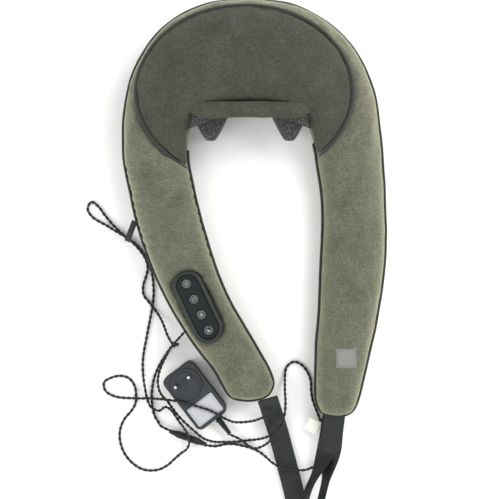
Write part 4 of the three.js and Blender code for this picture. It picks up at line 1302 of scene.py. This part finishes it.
def laid_cloth(matrix, half, height_at, thick, wave, step=1.0 * MM):
    """A sheet over the surface below it, thick in the middle and pressed at the edges."""
    columns, rows = max(int(2 * half.x / step), 4), max(int(2 * half.y / step), 4)
    tops, unders = [], []
    for j in range(rows + 1):
        for i in range(columns + 1):
            u, v = -1 + 2 * i / columns, -1 + 2 * j / rows
            edge = min(1 - abs(u), 1 - abs(v))
            spot = matrix @ Vector((u * half.x, v * half.y, 0))
            z = height_at(spot)
            ripple = wave * noise.noise(spot * 140)
            tops.append(Vector((spot.x, spot.y, z + thick * (0.45 + 0.55 * min(edge * 7, 1)) + ripple)))
            unders.append(Vector((spot.x, spot.y, z - 0.2 * MM)))
    stride = columns + 1
    size = stride * (rows + 1)
    faces = []
    for j in range(rows):
        for i in range(columns):
            a = j * stride + i
            faces.append([a, a + 1, a + 1 + stride, a + stride])
            faces.append([size + a, size + a + stride, size + a + 1 + stride, size + a + 1])
    border = [i for i in range(columns)] + [columns + j * stride for j in range(rows)]
    border += [rows * stride + i for i in range(columns, 0, -1)] + [j * stride for j in range(rows, 0, -1)]
    for a, b in zip(border, border[1:] + border[:1]):
        faces.append([a, size + a, size + b, b])
    return tops + unders, faces


def on_cover(spot):
    hit = dropped(cover_tree, spot.x, spot.y)
    return hit.z if hit else spot.z


patch_matrix, patch_half = plan_frame("woven_patch")
build("sewn_patch", laid_cloth(patch_matrix, patch_half, on_cover, 1.0 * MM, 0.15 * MM, 0.6 * MM),
      "patch", "woven_patch")
SEAM_INSET, SEAM_PITCH, SEAM_RISE = 1.6 * MM, 3 * MM, 0.9 * MM
corners = [patch_matrix @ Vector((sx * (patch_half.x - SEAM_INSET), sy * (patch_half.y - SEAM_INSET), 0))
           for sx, sy in ((-1, -1), (1, -1), (1, 1), (-1, 1))]
seam = []
for a, b in zip(corners, corners[1:] + corners[:1]):
    count = int((b - a).length / SEAM_PITCH)
    for i in range(count):
        start, end = a.lerp(b, (i + 0.12) / count), a.lerp(b, (i + 0.85) / count)
        start.z, end.z = on_cover(start) + SEAM_RISE, on_cover(end) + SEAM_RISE
        seam.append(capsule_dash(start, end, UP * 0.25 * MM, 0.2 * MM))
build("sewn_patch_stitches", joined(*seam), "patch", look="stitch")

tab_matrix, tab_half = plan_frame("side_tab")
tab_z = centre_of("side_tab").z - 0.6 * MM
build("folded_side_tab", laid_cloth(tab_matrix, tab_half, lambda spot: tab_z, 1.3 * MM, 0.3 * MM, 0.5 * MM),
      "tab", "side_tab")

care_matrix, care_half = plan_frame("care_label")
care_z = centre_of("care_label").z - 0.2 * MM


def curling(spot):
    away = (care_matrix.inverted() @ spot) / max(care_half.x, care_half.y)
    return care_z + 1.6 * MM * (away.x * 0.4 + away.y * 0.5) ** 2


build("satin_care_label", laid_cloth(care_matrix, care_half, curling, 0.4 * MM, 0.2 * MM, 0.8 * MM),
      "care_label", "care_label")

# Machined and moulded pieces keep their CAD form with their edges broken.
ROUNDED = ("gearbox_rear_shell", "gearbox_front_plate", "left_carrier", "right_carrier", "control_tray",
           "motor_can", "motor_end_cap", "control_board", "left_worm_wheel", "right_worm_wheel")
for node in ROUNDED:
    bevel = nodes[node].modifiers.new("broken_edges", "BEVEL")
    bevel.width = 0.35 * MM
    bevel.segments = 2
    bevel.limit_method = "ANGLE"
    bevel.angle_limit = math.radians(40)
    bevel.harden_normals = False


# ---- floor, lights and camera ----

low, high = (Vector(corner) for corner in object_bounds())
FLOOR_HALF = 4
floor_z = low.z - 0.5 * MM
floor_corners = [(x * FLOOR_HALF, y * FLOOR_HALF, floor_z) for x, y in ((-1, -1), (1, -1), (1, 1), (-1, 1))]
floor = new_object("studio_floor", floor_corners, [(0, 1, 2, 3)], printed("floor_paper", (0.93, 0.93, 0.92), 0.9),
                   body=None, smooth=False)
floor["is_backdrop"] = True

scene = bpy.context.scene
scene.view_settings.view_transform = "Standard"
world = bpy.data.worlds.new("studio")
scene.world = world
world.use_nodes = True
background = world.node_tree.nodes["Background"].inputs
background["Color"].default_value = (1, 1, 1, 1)
background["Strength"].default_value = 0.7
target = Vector((0, (low.y + high.y) / 2, 0))


def softbox(name, offset, size, power):
    data = bpy.data.lights.new(name, "AREA")
    data.shape = "RECTANGLE"
    data.size, data.size_y = size
    data.energy = power
    lamp = bpy.data.objects.new(name, data)
    scene.collection.objects.link(lamp)
    lamp.location = target + Vector(offset)
    lamp.rotation_euler = (-Vector(offset)).to_track_quat("-Z", "Y").to_euler()


softbox("key_softbox", (0.9, 0.7, 1.2), (1.0, 1.0), 22)
softbox("fill_softbox", (-1.1, -0.3, 1.1), (1.2, 1.2), 12)
softbox("front_softbox", (0.2, -1.3, 0.9), (1.2, 0.8), 8)

# The camera looks straight down on the whole massager from about 1.4 m.
CAMERA_PLACE = (-0.0006, -0.2285, 1.44)
LENS = 85.6
camera_data = bpy.data.cameras.new("catalogue")
camera_data.sensor_width = 36
camera_data.lens = LENS
camera_data.clip_end = 20
camera = bpy.data.objects.new("catalogue_camera", camera_data)
scene.collection.objects.link(camera)
camera.location = CAMERA_PLACE
camera.rotation_euler = (0, 0, 0)
scene.camera = camera
